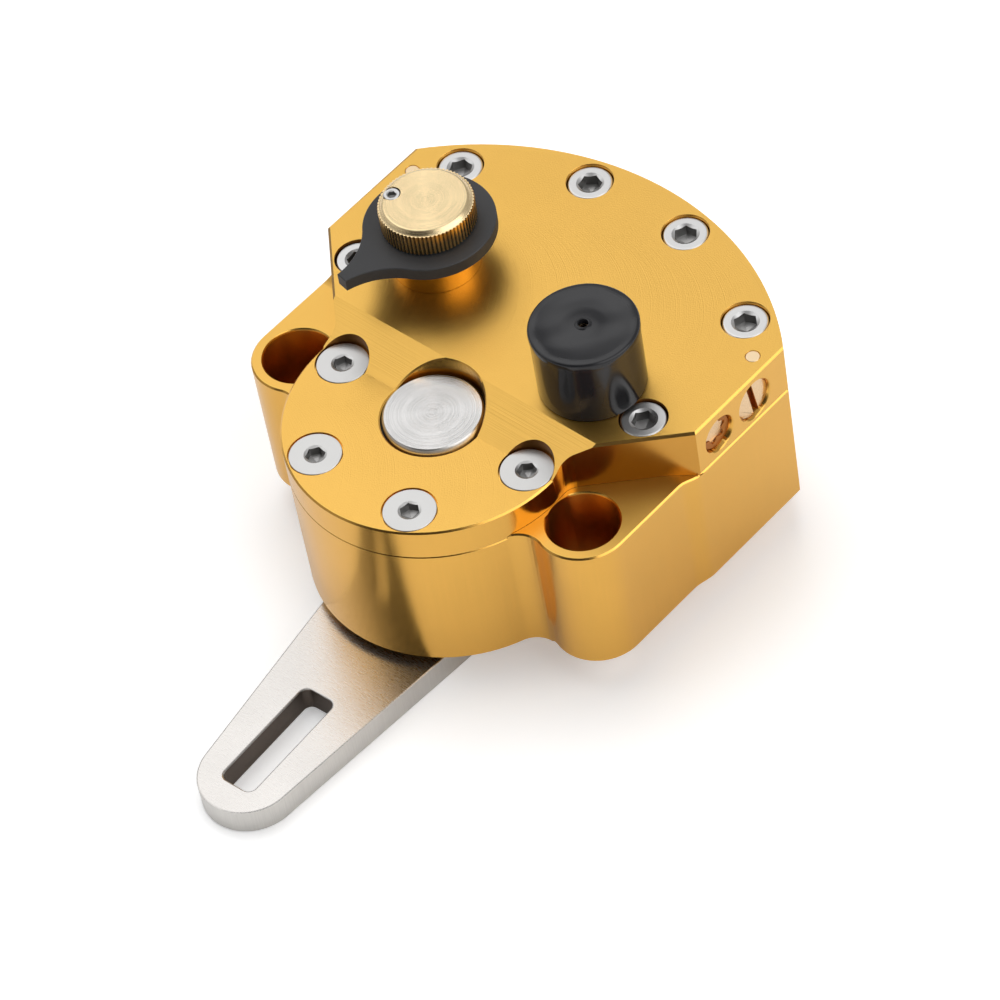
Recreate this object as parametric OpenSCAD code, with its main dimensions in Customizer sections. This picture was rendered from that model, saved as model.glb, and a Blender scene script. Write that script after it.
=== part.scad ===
// Rotary steering damper with a fan-shaped oil chamber.
// The origin is on the shaft axis at the underside of the body.
// Z points up, Y points from the shaft toward the fan-shaped front.

/* [Display] */
// Sub-part to draw, or all of them

/* [Body] */
// Half width across the two side flats
half_w = 44.6; // [43.9:0.1:46]
// Height of the body up to the joint with the lid
body_h = 28.2; // [27:0.1:31]
// Radius of the round lobe about the shaft
lobe_r = 28; // [27.6:0.1:29]
// Radius of the curved front edge
fan_r = 62.5; // [61.5:0.1:65]
// Distance of the front edge centre ahead of the shaft
fan_y = 2; // [1:0.1:3]
// Corner radius where side flat meets front edge
corner_r = 1.5; // [1:0.1:2.5]
// Distance of each ear bore from the shaft axis
ear_x = 34.8; // [34.3:0.1:35]
// Outer radius of each ear
ear_r = 8.95; // [8.6:0.05:9.3]
// Rise of the ear tops above the joint plane
ear_rise = 0.75; // [0.3:0.05:0.9]
// Front position where the ear flanks start to widen into the fan
ear_ease = 16.2; // [15:0.1:17]
// Blend radius between ear and lobe
ear_blend = 5; // [3:0.1:7]
// Radius of the wide bore in each ear
ear_bore_r = 6.65; // [6.55:0.05:7]
// Depth of the wide bore below the ear face
ear_bore_depth = 20; // [16:0.5:22]
// Radius of the bolt hole through each ear
bolt_r = 4.25; // [4:0.05:4.5]

/* [Lid] */
// Height of the lid over the fan
lid_h = 11.1; // [10.6:0.1:12]
// Drop from the upper face to the lobe face
step_h = 4.5; // [4:0.1:5]
// Position of the ramp foot ahead of the shaft
ramp_foot = 0.6; // [0:0.1:1.5]
// Position of the ramp ridge ahead of the shaft
ramp_ridge = 9; // [8.5:0.1:10]
// Half width of the lid where the ridge meets the neck
neck_x = 32.3; // [31.5:0.1:33]
// Position of the front corner of the neck cut
neck_y = 21; // [20.4:0.1:22]
// Blend radius between neck cut and lobe
neck_blend = 4; // [3:0.1:5]
// Radius of the open bore around the shaft end
shaft_bore_r = 9.8; // [9.7:0.05:10.5]

/* [Chamber and vane] */
// Thickness of the chamber floor
floor_t = 7; // [6.5:0.1:8]
// Outer radius of the oil chamber
chamber_r = 52; // [50:0.1:52.5]
// Swing of the vane to each end wall
chamber_angle = 42; // [38:0.5:42]
// Thickness of the vane blade
vane_t = 7; // [6:0.1:8]
// Radius of the vane hub
hub_r = 14; // [13.5:0.1:14.5]
// Thickness of the sealing strip at the vane tip
strip_t = 2.4; // [2:0.1:3]
// Depth of the sealing strip slot
strip_depth = 3; // [2.5:0.1:4]
// Width of the lid seal groove
groove_w = 1.6; // [1.4:0.1:1.8]
// Depth of the lid seal groove
groove_depth = 1.4; // [1.2:0.1:1.8]
// Distance from the chamber edge to the lid seal groove
groove_edge = 1.8; // [1.6:0.1:2]

/* [Shaft] */
// Radius of the shaft in its bushes
shaft_r = 9.35; // [9:0.05:9.45]
// Height of the shaft end above the lobe face
shaft_proud = 0.9; // [0.5:0.1:1.5]
// Radius of the shaft inside the vane hub
core_r = 10.2; // [10:0.1:10.5]
// Outer radius of both bushes
bush_r = 11.5; // [11.3:0.1:12]
// Height of each bush
bush_h = 3.2; // [3:0.1:3.5]
// Height of the upper shaft seal
top_seal_h = 1.8; // [1.5:0.1:2]
// Outer radius of the lower shaft seal
low_seal_r = 12.5; // [12:0.1:13]
// Height of the lower shaft seal
low_seal_h = 2.8; // [2.5:0.1:3]
// Width of the vane key
key_w = 4; // [3.5:0.1:4.5]
// Radial height of the vane key
key_t = 3.4; // [3:0.1:3.8]
// Length of the vane key
key_len = 16; // [12:0.5:17]

/* [Link arm] */
// Turn of the arm away from straight back
arm_turn = 3.2; // [-10:0.1:10]
// Gap between the body underside and the arm
arm_gap = 2.2; // [1.8:0.1:3]
// Thickness of the arm
arm_t = 5.5; // [5:0.1:6.5]
// Distance from the shaft axis to the tip centre
arm_len = 62.2; // [60:0.5:66]
// Radius of the arm around the shaft
arm_hub_r = 16.4; // [15:0.1:17.5]
// Radius of the arm tip
arm_tip_r = 9.35; // [9:0.05:10]
// Distance from the shaft axis to the near end of the slot
slot_near = 41.3; // [39:0.1:43]
// Distance from the shaft axis to the far end of the slot
slot_far = 65.7; // [64:0.1:66]
// Width of the slot
slot_w = 7.3; // [6.5:0.1:8]
// Corner radius of the slot
slot_corner = 1.6; // [0.8:0.1:2]
// Side of the square end that drives the arm
drive_w = 12; // [11:0.1:12.5]
// Depth of the square pocket in the arm
drive_depth = 3.1; // [2.8:0.1:3.3]
// Radius of the arm screw head
arm_screw_head_r = 5.4; // [5:0.1:5.4]
// Radius of the arm screw shank
arm_screw_r = 3; // [2.5:0.1:3.2]
// Length of the arm screw
arm_screw_len = 16; // [12:0.5:20]

/* [Screws and pins] */
// Side position of the rear pair of rim screws
rim_a_x = 34.6; // [34:0.1:35]
// Front position of the rear pair of rim screws
rim_a_y = 18.6; // [18:0.1:19]
// Side position of the middle pair of rim screws
rim_b_x = 34.6; // [34:0.1:35]
// Front position of the middle pair of rim screws
rim_b_y = 47.2; // [46.8:0.1:47.4]
// Side position of the front pair of rim screws
rim_c_x = 11.6; // [11:0.1:13]
// Front position of the front pair of rim screws
rim_c_y = 57.9; // [57.6:0.1:58.2]
// Radius of the rim screw heads
cap_head_r = 4.25; // [4:0.05:4.4]
// Height of the rim screw heads
cap_head_h = 5; // [4.5:0.1:5.2]
// Depth of the rim screw heads below the upper face
cap_sink = 0.4; // [0.2:0.1:0.8]
// Hexagon socket size of the rim screws
cap_key = 4; // [3.5:0.1:4.2]
// Circle radius of the lobe screws
lobe_screw_at = 22.45; // [22.2:0.05:22.6]
// Angle of the two rear lobe screws from straight back
lobe_screw_angle = 30.8; // [28:0.1:34]
// Radius of the lobe screw heads
flat_head_r = 4.93; // [4.7:0.01:5]
// Depth of the lobe screw heads below the lobe face
flat_sink = 0.1; // [0.05:0.05:0.2]
// Height of the straight rim of the lobe screw heads
flat_land = 0.5; // [0.3:0.1:0.8]
// Hexagon socket size of the lobe screws
flat_key = 3.3; // [3:0.1:3.5]
// Shank radius of all lid screws
screw_r = 2.5; // [2.3:0.05:2.5]
// Length of screw thread in the body
screw_bite = 14; // [10:0.5:16]
// Side position of the blanking pins
pin_x = 41.3; // [41:0.1:41.6]
// Front position of the blanking pins
pin_y = 41.1; // [40.5:0.1:41.5]
// Radius of the blanking pins
pin_r = 1.35; // [1.2:0.05:1.5]
// Length of the blanking pins
pin_len = 1.2; // [1:0.1:1.4]

/* [Adjuster] */
// Side position of the adjuster axis
adj_x = -21.9; // [-22.5:0.1:-21.5]
// Front position of the adjuster axis
adj_y = 26.4; // [26:0.1:27]
// Radius of the adjuster stem
stem_r = 8.45; // [8.2:0.05:8.8]
// Height of the adjuster stem above the lid
stem_h = 7.6; // [7:0.1:8]
// Radius of the stem screwed into the lid
stem_foot_r = 7; // [6.5:0.1:7.5]
// Depth of the stem foot in the lid
stem_foot_h = 3.5; // [3:0.1:3.6]
// Radius of the valve spool
spool_r = 4.5; // [4.2:0.1:5]
// Radius of the spool stem
spindle_r = 3; // [2.8:0.1:3.2]
// Radius of the pointer disc
pointer_r = 12.4; // [12:0.1:13]
// Thickness of the pointer disc
pointer_t = 2.7; // [2.4:0.1:3]
// Distance from the axis to the pointer tip
pointer_tip = 20.2; // [19.5:0.1:21]
// Half width of the blunt pointer tip
pointer_tip_w = 1.25; // [1:0.05:1.5]
// Radius of the hollow flanks of the pointer
pointer_flank = 14; // [12:0.5:18]
// Direction of the pointer from the side axis
pointer_dir = -101; // [-120:1:-80]
// Radius of the knob
knob_r = 8.95; // [8.7:0.05:9.3]
// Height of the knob
knob_h = 5.6; // [5:0.1:6]
// Number of knurl ridges on the knob
knurl_count = 72; // [60:1:90]
// Depth of the knurl grooves
knurl_depth = 0.3; // [0.2:0.05:0.4]
// Circle radius of the detent
detent_at = 6.6; // [6.5:0.05:6.7]
// Direction of the detent screw from the side axis
detent_dir = -159; // [-170:1:-150]
// Radius of the detent screw
detent_r = 1.65; // [1.5:0.05:1.7]
// Number of detent dimples
detent_count = 24; // [16:1:28]
// Angle swept by the stop groove
stop_sweep = 290; // [270:1:295]
// Circle radius of the stop pin
stop_at = 4.75; // [4.7:0.05:4.8]
// Radius of the stop pin
stop_r = 0.8; // [0.7:0.05:0.8]

/* [Compensator] */
// Side position of the compensator axis
comp_x = 21.4; // [21:0.1:22]
// Front position of the compensator axis
comp_y = 20.1; // [19.8:0.1:20.5]
// Outer radius of the soft cover
cover_r = 10.1; // [9.8:0.1:10.5]
// Height of the soft cover above the lid
cover_h = 15.3; // [14.4:0.1:16]
// Wall thickness of the soft cover
cover_t = 1.2; // [1:0.1:1.4]
// Depth of the rim band at the top of the soft cover
cover_band = 2; // [1.5:0.1:3]
// Step of the rim band out from the wall
cover_step = 0.15; // [0.1:0.05:0.3]
// Radius of the vent hole in the soft cover
vent_r = 0.9; // [0.7:0.05:1.5]
// Bore radius of the compensator sleeve
sleeve_bore = 7; // [6.8:0.1:7.2]
// Height of the compensator piston
piston_h = 4; // [3.5:0.1:4.2]
// Gap under the piston at rest
piston_rise = 1; // [0.8:0.1:1.2]
// Coils of the compensator spring
comp_coils = 3; // [2:0.5:4]
// Wire radius of the compensator spring
comp_wire = 0.4; // [0.3:0.05:0.45]

/* [Oil passages] */
// Height of the cross passages above the joint plane
passage_z = 5.3; // [5.1:0.1:5.4]
// Radius of the valve passage
passage_r = 1.6; // [1.4:0.1:1.7]
// Front position of the valve passage
valve_pass_y = 27; // [26.7:0.1:27.3]
// Radius of the valve passage plug
hex_plug_r = 3.6; // [3.4:0.05:3.7]
// Hexagon socket size of the valve passage plug
hex_plug_key = 3; // [2.6:0.1:3.2]
// Front position of the relief passage
relief_y = 36.9; // [36.6:0.1:37.2]
// Radius of the relief passage plug
slot_plug_r = 4.1; // [3.8:0.05:4.2]
// Length of both passage plugs
plug_len = 4; // [3.5:0.1:4.5]
// Depth of the valve passage plug face inside the side flat
hex_plug_sink = 0.9; // [0.6:0.1:1.1]
// Depth of the relief passage plug face inside the side flat
slot_plug_sink = 0.6; // [0.3:0.1:0.8]
// Lean of the screwdriver slot from upright
slot_lean = 9; // [-90:1:90]
// Width of the driver slot
driver_w = 1.1; // [0.9:0.05:1.3]
// Depth of the driver slot
driver_depth = 1.3; // [1:0.1:1.5]
// Radius of the relief valve bore
relief_r = 2.6; // [2.5:0.05:2.7]
// Radius of the relief ball
ball_r = 2.3; // [2.2:0.05:2.4]
// Distance of the relief seat inside the side flat
relief_seat = 17; // [15:0.5:18]

/* [Hidden] */
$fn = 64;
over = 1;
run_fit = 0.05;
seat_fit = 0.03;
thread_fit = 0.05;
flat_fit = 0.05;
head_gap = 0.25;
edge_break = 0.4;
half = 0.5;
blend_lap = 0.02;
ease_steps = 8;

// derived heights
top_z = body_h + lid_h;
lobe_z = top_z - step_h;
cross_z = body_h + passage_z;
shaft_top = lobe_z + shaft_proud;
low_bush_z = floor_t - bush_h - flat_fit;
top_seal_z = body_h + flat_fit + bush_h;
arm_top = -arm_gap;
arm_low = arm_top - arm_t;
drive_low = arm_top - drive_depth + flat_fit;
cap_seat = top_z - cap_sink - cap_head_h;
cap_low = body_h - screw_bite;
flat_top = lobe_z - flat_sink;
flat_cone = flat_head_r - screw_r;
spool_low = body_h + passage_z - passage_r - half;
stem_low = top_z - stem_foot_h;
spool_top = stem_low - flat_fit;
stem_top = top_z + stem_h;
pointer_low = stem_top + 2 * flat_fit;
knob_low = pointer_low + pointer_t;
knob_top = knob_low + knob_h;
knob_crown_r = knob_r - knurl_depth - flat_fit;

// derived plan sizes
ear_out = ear_x + ear_r;
ear_top = body_h + ear_rise;
from_lobe = lobe_r + ear_blend - blend_lap;
from_ear = ear_r + ear_blend - blend_lap;
ear_blend_x = (pow(from_lobe, 2) + pow(ear_x, 2) - pow(from_ear, 2)) / (2 * ear_x);
ear_blend_y = sqrt(pow(from_lobe, 2) - pow(ear_blend_x, 2));
corner_x = half_w - corner_r;
corner_y = fan_y + sqrt(pow(fan_r - corner_r, 2) - pow(corner_x, 2));
neck_dir = [half_w - neck_x, neck_y - ramp_ridge] / norm([half_w - neck_x, neck_y - ramp_ridge]);
neck_out = [neck_dir.y, -neck_dir.x];
neck_from = [neck_x, ramp_ridge] + (neck_blend - blend_lap) * neck_out;
neck_along = neck_from * neck_dir;
neck_root = sqrt(pow(neck_along, 2) - neck_from * neck_from + pow(lobe_r + neck_blend - blend_lap, 2));
neck_centre = neck_from + (neck_root - neck_along) * neck_dir;
neck_touch = neck_centre - neck_blend * neck_out;
neck_inner = [neck_x, ramp_ridge] - (neck_x - lobe_r + 2 * over) / neck_dir.x * neck_dir;
wall_off = vane_t / 2 + 2 * flat_fit;
key_low = (floor_t + body_h - key_len) / 2;
arm_slope = (arm_hub_r - arm_tip_r) / arm_len;
arm_side = sqrt(1 - pow(arm_slope, 2));
arm_hub_at = (arm_hub_r - blend_lap) * [arm_side, -arm_slope];
arm_tip_at = (arm_tip_r - blend_lap) * [arm_side, -arm_slope] - [0, arm_len];
tip_dist = norm([pointer_tip, pointer_tip_w]);
flank_far = pointer_r + pointer_flank - blend_lap;
flank_a = (pow(flank_far, 2) - pow(pointer_flank, 2) + pow(tip_dist, 2)) / (2 * tip_dist);
flank_h = sqrt(pow(flank_far, 2) - pow(flank_a, 2));
tip_unit = [pointer_tip, pointer_tip_w] / tip_dist;
flank_c = flank_a * tip_unit + flank_h * [-tip_unit.y, tip_unit.x];

// derived adjuster and compensator sizes
valve_bore_r = spool_r + run_fit;
port_r = 1.1;
ring_wire = 0.45;
stop_bite = 3;
stop_proud = 1.3;
stop_low = stem_top - stop_bite;
stop_top = pointer_low + stop_proud;
stop_deep = 1.5;
detent_bore_r = 1.3;
detent_ball_r = 1.2;
detent_screw_h = 2.2;
detent_sink = 0.15;
detent_screw_top = knob_top - detent_sink;
detent_key = 1.5;
detent_spring_top = detent_screw_top - detent_screw_h - flat_fit;
detent_ball_z = stem_top + detent_ball_r + flat_fit;
spindle_sink = 1.6;
spindle_top = knob_top - spindle_sink;
sleeve_r = cover_r - cover_step - cover_t - seat_fit;
sleeve_top = top_z + cover_h - cover_t - flat_fit;
sleeve_floor_t = 2.2;
sleeve_floor = top_z + sleeve_floor_t;
sleeve_foot_r = 6;
sleeve_foot_h = 3.2;
piston_low = sleeve_floor + piston_rise;
piston_top = piston_low + piston_h;
end_h = 1.9;
end_low = sleeve_top - end_h;
hex_plug_in = half_w - hex_plug_sink - plug_len;
slot_plug_in = half_w - slot_plug_sink - plug_len;
seat_x = half_w - relief_seat;
ball_x = seat_x + ball_r - 2 * flat_fit;
relief_port_r = 1.3;
relief_port_back = 8;
relief_side_on = 5;
relief_port_x = seat_x - relief_port_back;
relief_side_x = seat_x + relief_side_on;
valve_port_x = valve_pass_y;

// plan shapes
module both_sides() {
  children();
  mirror([1, 0]) children();
}

module rounded_fan() {
  outward = 4 * corner_r * [corner_x, corner_y - fan_y] / (fan_r - corner_r);
  difference() {
    intersection() {
      translate([0, fan_y]) circle(r = fan_r);
      translate([-half_w, 0]) square([2 * half_w, fan_y + fan_r + over]);
    }
    both_sides() difference() {
      polygon([[corner_x, corner_y], [half_w + over, corner_y],
        [half_w + over, corner_y + 4 * corner_r], [corner_x, corner_y] + outward]);
      translate([corner_x, corner_y]) circle(r = corner_r);
    }
  }
}

module side_profile() {
  flank = [for (i = [0 : ease_steps])
    [ease(i, ear_out, half_w), ease_along(i, ear_ease, neck_y)]];
  far_y = fan_y + fan_r + over;
  polygon(concat(
    [[ear_out, 0]], flank, [[half_w + over, neck_y], [half_w + over, far_y],
    [-half_w - over, far_y], [-half_w - over, neck_y]],
    [for (i = [ease_steps : -1 : 0]) [-flank[i].x, flank[i].y]], [[-ear_out, 0]]));
}

module body_plan() {
  intersection() {
    rounded_fan();
    side_profile();
  }
  circle(r = lobe_r);
  both_sides() {
    translate([ear_x, 0]) circle(r = ear_r);
    difference() {
      polygon([[0, 0], [ear_blend_x, -ear_blend_y], [ear_x, 0]]);
      translate([ear_blend_x, -ear_blend_y]) circle(r = ear_blend);
    }
  }
}

module lid_plan() {
  circle(r = lobe_r);
  intersection() {
    rounded_fan();
    polygon([[-neck_inner.x, neck_inner.y], neck_inner, [neck_x, ramp_ridge],
      [half_w, neck_y], [half_w + over, neck_y],
      [half_w + over, fan_y + fan_r + over], [-half_w - over, fan_y + fan_r + over],
      [-half_w - over, neck_y], [-half_w, neck_y], [-neck_x, ramp_ridge]]);
  }
  both_sides() difference() {
    polygon([[0, 0], neck_centre, neck_touch, [0, ramp_ridge]]);
    translate(neck_centre) circle(r = neck_blend);
  }
}

module chamber_plan(grow) {
  off = wall_off + grow;
  side = [cos(chamber_angle), -sin(chamber_angle)] * off;
  far = side + [sin(chamber_angle), cos(chamber_angle)] * 2 * chamber_r;
  intersection() {
    circle(r = chamber_r + grow);
    polygon([side, far, [0, 3 * chamber_r], [-far.x, far.y], [-side.x, side.y]]);
  }
  circle(r = hub_r + run_fit + grow);
}

module arm_plan() {
  circle(r = arm_hub_r);
  translate([0, -arm_len]) circle(r = arm_tip_r);
  polygon([arm_hub_at, [-arm_hub_at.x, arm_hub_at.y], [-arm_tip_at.x, arm_tip_at.y], arm_tip_at]);
}

module slot_plan() {
  core = slot_w - 2 * slot_corner;
  span = slot_far - slot_near;
  translate([-slot_w / 2, -slot_far + slot_corner]) square([slot_w, span - 2 * slot_corner]);
  translate([-core / 2, -slot_far]) square([core, span]);
  for (x = [-core / 2, core / 2]) {
    for (y = [-slot_far + slot_corner, -slot_near - slot_corner]) {
      translate([x, y]) circle(r = slot_corner);
    }
  }
}

module pointer_plan() {
  circle(r = pointer_r);
  difference() {
    polygon([[0, 0], [flank_c.x, -flank_c.y], [pointer_tip, -pointer_tip_w],
      [pointer_tip, pointer_tip_w], flank_c]);
    translate(flank_c) circle(r = pointer_flank);
    translate([flank_c.x, -flank_c.y]) circle(r = pointer_flank);
  }
}

function ease(i, from, to) = from + (to - from) * pow(i / ease_steps, 2) * (3 - 2 * i / ease_steps);

function ease_along(i, from, to) = from + (to - from) * i / ease_steps;

function hex_r(key) = key / (2 * cos(30));

function knurl_points(n, r, d) = [for (i = [0 : 2 * n - 1])
  let (q = r - (i % 2) * d) [q * cos(180 * i / n), q * sin(180 * i / n)]];

// shared solids
module bore(r, from, to) {
  translate([0, 0, from]) cylinder(r = r, h = to - from);
}

module tube(r_out, r_in, from, to) {
  difference() {
    bore(r_out, from, to);
    bore(r_in, from - over, to + over);
  }
}

module hex_hole(key, from, depth) {
  translate([0, 0, from - depth]) cylinder(r = hex_r(key), h = depth + over, $fn = 6);
}

module o_ring(centre_r, wire) {
  rotate_extrude() translate([centre_r, 0]) circle(r = wire, $fn = 32);
}

module coil(r, wire, turns, height) {
  seg = 16;
  sides = 8;
  steps = seg * turns;
  pts = [for (i = [0 : steps], j = [0 : sides - 1])
    let (a = 360 * i / seg, b = 360 * j / sides, q = r + wire * cos(b))
      [q * cos(a), q * sin(a), wire + (height - 2 * wire) * i / steps + wire * sin(b)]];
  skin = [for (i = [0 : steps - 1], j = [0 : sides - 1])
    let (k = (j + 1) % sides)
      [i * sides + j, i * sides + k, (i + 1) * sides + k, (i + 1) * sides + j]];
  first = [for (j = [sides - 1 : -1 : 0]) j];
  last = [for (j = [0 : sides - 1]) steps * sides + j];
  polyhedron(points = pts, faces = concat(skin, [first], [last]), convexity = 6);
}

module at_rim() {
  for (s = [-1, 1]) {
    translate([s * rim_a_x, rim_a_y, 0]) children();
    translate([s * rim_b_x, rim_b_y, 0]) children();
    translate([s * rim_c_x, rim_c_y, 0]) children();
  }
}

module at_lobe() {
  for (s = [-1, 1]) {
    translate([s * lobe_screw_at, 0, 0]) children();
    rotate([0, 0, s * lobe_screw_angle]) translate([0, -lobe_screw_at, 0]) children();
  }
}

module at_pins() {
  for (s = [-1, 1]) translate([s * pin_x, pin_y, 0]) children();
}

module at_adjuster() {
  translate([adj_x, adj_y, 0]) children();
}

module at_comp() {
  translate([comp_x, comp_y, 0]) children();
}

module turned() {
  rotate([0, 0, arm_turn]) children();
}

module along_side(y, x) {
  translate([x, y, cross_z]) rotate([0, 90, 0]) children();
}

// housing
module ear_tops() {
  back_y = -lobe_r;
  crest = [for (i = [0 : ease_steps])
    [ease_along(i, neck_y, ear_ease), ease(i, body_h, ear_top)]];
  intersection() {
    linear_extrude(height = ear_top + over) difference() {
      body_plan();
      scale(1 + flat_fit / lobe_r) lid_plan();
    }
    rotate([90, 0, 90]) translate([0, 0, -half_w - over]) linear_extrude(height = 2 * (half_w + over))
      polygon(concat([[back_y, body_h / 2], [neck_y, body_h / 2]], crest, [[back_y, ear_top]]));
  }
}

module body() {
  color([0.85, 0.6, 0.2])
  difference() {
    union() {
      linear_extrude(height = body_h) body_plan();
      ear_tops();
    }
    translate([0, 0, floor_t]) linear_extrude(height = body_h) chamber_plan(0);
    translate([0, 0, body_h - groove_depth]) linear_extrude(height = body_h) {
      difference() {
        chamber_plan(groove_edge + groove_w);
        chamber_plan(groove_edge);
      }
    }
    bore(shaft_r + 2 * run_fit, -over, floor_t + over);
    bore(bush_r + seat_fit, low_bush_z, floor_t + over);
    bore(low_seal_r + seat_fit, -over, low_seal_h + flat_fit);
    for (s = [-1, 1]) {
      translate([s * ear_x, 0, 0]) bore(bolt_r, -over, body_h);
      translate([s * ear_x, 0, 0]) bore(ear_bore_r, ear_top - ear_bore_depth, ear_top + over);
    }
    at_rim() bore(screw_r + thread_fit, cap_low - over, body_h + over);
    at_lobe() bore(screw_r + thread_fit, cap_low - over, body_h + over);
  }
}

module lid() {
  color([0.87, 0.63, 0.22])
  difference() {
    translate([0, 0, body_h]) linear_extrude(height = lid_h) lid_plan();
    rotate([90, 0, 90]) translate([0, 0, -half_w - over]) linear_extrude(height = 2 * (half_w + over)) {
      polygon([[-lobe_r - over, lobe_z], [ramp_foot, lobe_z], [ramp_ridge, top_z],
        [ramp_ridge, top_z + over], [-lobe_r - over, top_z + over]]);
    }
    bore(bush_r + seat_fit, body_h - over, top_seal_z + flat_fit + top_seal_h);
    bore(shaft_bore_r, body_h, top_z + over);
    at_rim() bore(screw_r + head_gap, body_h - over, top_z);
    at_rim() bore(cap_head_r + head_gap, cap_seat, top_z + over);
    at_lobe() bore(screw_r + head_gap, body_h - over, lobe_z);
    at_lobe() bore(flat_head_r + head_gap, flat_top - flat_land, top_z + over);
    at_lobe() translate([0, 0, flat_top - flat_land - flat_cone])
      cylinder(r1 = screw_r + seat_fit, r2 = flat_head_r + seat_fit, h = flat_cone);
    at_pins() bore(pin_r + seat_fit, top_z - pin_len - flat_fit, top_z + over);
    at_adjuster() bore(stem_foot_r + thread_fit, stem_low - flat_fit, top_z + over);
    at_adjuster() bore(valve_bore_r, spool_low - flat_fit, top_z);
    at_adjuster() bore(2 * port_r, body_h - over, top_z - lid_h / 2);
    at_comp() bore(sleeve_foot_r + thread_fit, top_z - sleeve_foot_h - flat_fit, top_z + over);
    at_comp() bore(port_r - run_fit, body_h - over, top_z);
    along_side(valve_pass_y, adj_x) cylinder(r = passage_r, h = half_w - adj_x);
    along_side(valve_pass_y, hex_plug_in - flat_fit)
      cylinder(r = hex_plug_r + thread_fit, h = 2 * plug_len);
    along_side(relief_y, seat_x) cylinder(r = relief_r, h = relief_seat);
    along_side(relief_y, relief_port_x) cylinder(r = relief_port_r, h = relief_seat);
    along_side(relief_y, slot_plug_in - flat_fit)
      cylinder(r = slot_plug_r + thread_fit, h = 2 * plug_len);
    translate([valve_port_x, valve_pass_y, 0]) bore(port_r, body_h - over, cross_z);
    translate([relief_port_x, relief_y, 0]) bore(relief_port_r, body_h - over, cross_z);
    translate([relief_side_x, relief_y, 0]) bore(port_r, body_h - over, cross_z);
  }
}

module lid_seal() {
  color([0.08, 0.08, 0.08])
  translate([0, 0, body_h - groove_depth + flat_fit])
  linear_extrude(height = groove_depth - 2 * flat_fit) {
    difference() {
      chamber_plan(groove_edge + groove_w - flat_fit);
      chamber_plan(groove_edge + flat_fit);
    }
  }
}

module lower_bush() {
  color([0.62, 0.45, 0.2])
  tube(bush_r, shaft_r + run_fit, low_bush_z + flat_fit / 2, floor_t - flat_fit);
}

module upper_bush() {
  color([0.62, 0.45, 0.2])
  tube(bush_r, shaft_r + run_fit, body_h + flat_fit, body_h + bush_h);
}

module lower_seal() {
  color([0.06, 0.06, 0.06])
  tube(low_seal_r, shaft_r + run_fit, flat_fit, low_seal_h);
}

module upper_seal() {
  color([0.06, 0.06, 0.06])
  tube(bush_r, shaft_r + run_fit, top_seal_z, top_seal_z + top_seal_h);
}

// rotor
module shaft() {
  color([0.78, 0.77, 0.75])
  turned()
  difference() {
    union() {
      bore(shaft_r, arm_top, shaft_top - edge_break);
      translate([0, 0, shaft_top - edge_break])
        cylinder(r1 = shaft_r, r2 = shaft_r - edge_break, h = edge_break);
      bore(core_r, floor_t + flat_fit, body_h - flat_fit);
      translate([-drive_w / 2, -drive_w / 2, drive_low])
        cube([drive_w, drive_w, arm_top - drive_low + over]);
    }
    bore(arm_screw_r + thread_fit, drive_low - over, arm_low + arm_screw_len + over);
    translate([-key_w / 2, -core_r - over, key_low])
      cube([key_w, key_t / 2 + over, key_len]);
  }
}

module vane() {
  color([0.7, 0.7, 0.72])
  turned()
  translate([0, 0, floor_t + flat_fit])
  difference() {
    linear_extrude(height = body_h - floor_t - 2 * flat_fit) {
      difference() {
        union() {
          circle(r = hub_r);
          intersection() {
            circle(r = chamber_r - 8 * flat_fit);
            translate([-vane_t / 2, 0]) square([vane_t, chamber_r]);
          }
        }
        circle(r = core_r + seat_fit);
        translate([-strip_t / 2, chamber_r - strip_depth]) square([strip_t, strip_depth]);
      }
    }
    translate([-key_w / 2, -core_r - key_t / 2 - seat_fit, key_low - floor_t - flat_fit])
      cube([key_w, key_t, body_h]);
  }
}

module vane_key() {
  color([0.4, 0.4, 0.42])
  turned()
  translate([-key_w / 2 + seat_fit, -core_r - key_t / 2 + seat_fit, key_low + seat_fit])
    cube([key_w - 2 * seat_fit, key_t - 2 * seat_fit, key_len - 2 * seat_fit]);
}

module vane_strip() {
  color([0.75, 0.7, 0.6])
  turned()
  translate([0, 0, floor_t + flat_fit])
  linear_extrude(height = body_h - floor_t - 2 * flat_fit) {
    intersection() {
      circle(r = chamber_r - run_fit);
      translate([-strip_t / 2 + seat_fit, chamber_r - strip_depth + seat_fit])
        square([strip_t - 2 * seat_fit, strip_depth]);
    }
  }
}

module dust_ring() {
  color([0.07, 0.07, 0.07])
  turned()
  tube(low_seal_r - half, shaft_r + seat_fit, arm_top + flat_fit, -4 * flat_fit);
}

module link_arm() {
  color([0.75, 0.74, 0.72])
  turned()
  difference() {
    translate([0, 0, arm_low]) linear_extrude(height = arm_t) {
      difference() {
        arm_plan();
        slot_plan();
      }
    }
    translate([-drive_w / 2 - seat_fit, -drive_w / 2 - seat_fit, arm_top - drive_depth])
      cube([drive_w + 2 * seat_fit, drive_w + 2 * seat_fit, arm_t]);
    translate([0, 0, arm_low - over]) cylinder(
      r1 = arm_screw_head_r + seat_fit + over,
      r2 = arm_screw_r + seat_fit,
      h = arm_screw_head_r - arm_screw_r + over);
    bore(arm_screw_r + seat_fit, arm_low, arm_top);
  }
}

module arm_screw() {
  color([0.7, 0.7, 0.7])
  turned()
  difference() {
    union() {
      translate([0, 0, arm_low + flat_fit]) cylinder(
        r1 = arm_screw_head_r - flat_fit,
        r2 = arm_screw_r,
        h = arm_screw_head_r - arm_screw_r - flat_fit);
      bore(arm_screw_r, arm_low + over, arm_low + arm_screw_len);
    }
    translate([0, 0, arm_low - over]) cylinder(r = hex_r(cap_key), h = 3 * over, $fn = 6);
  }
}

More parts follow.
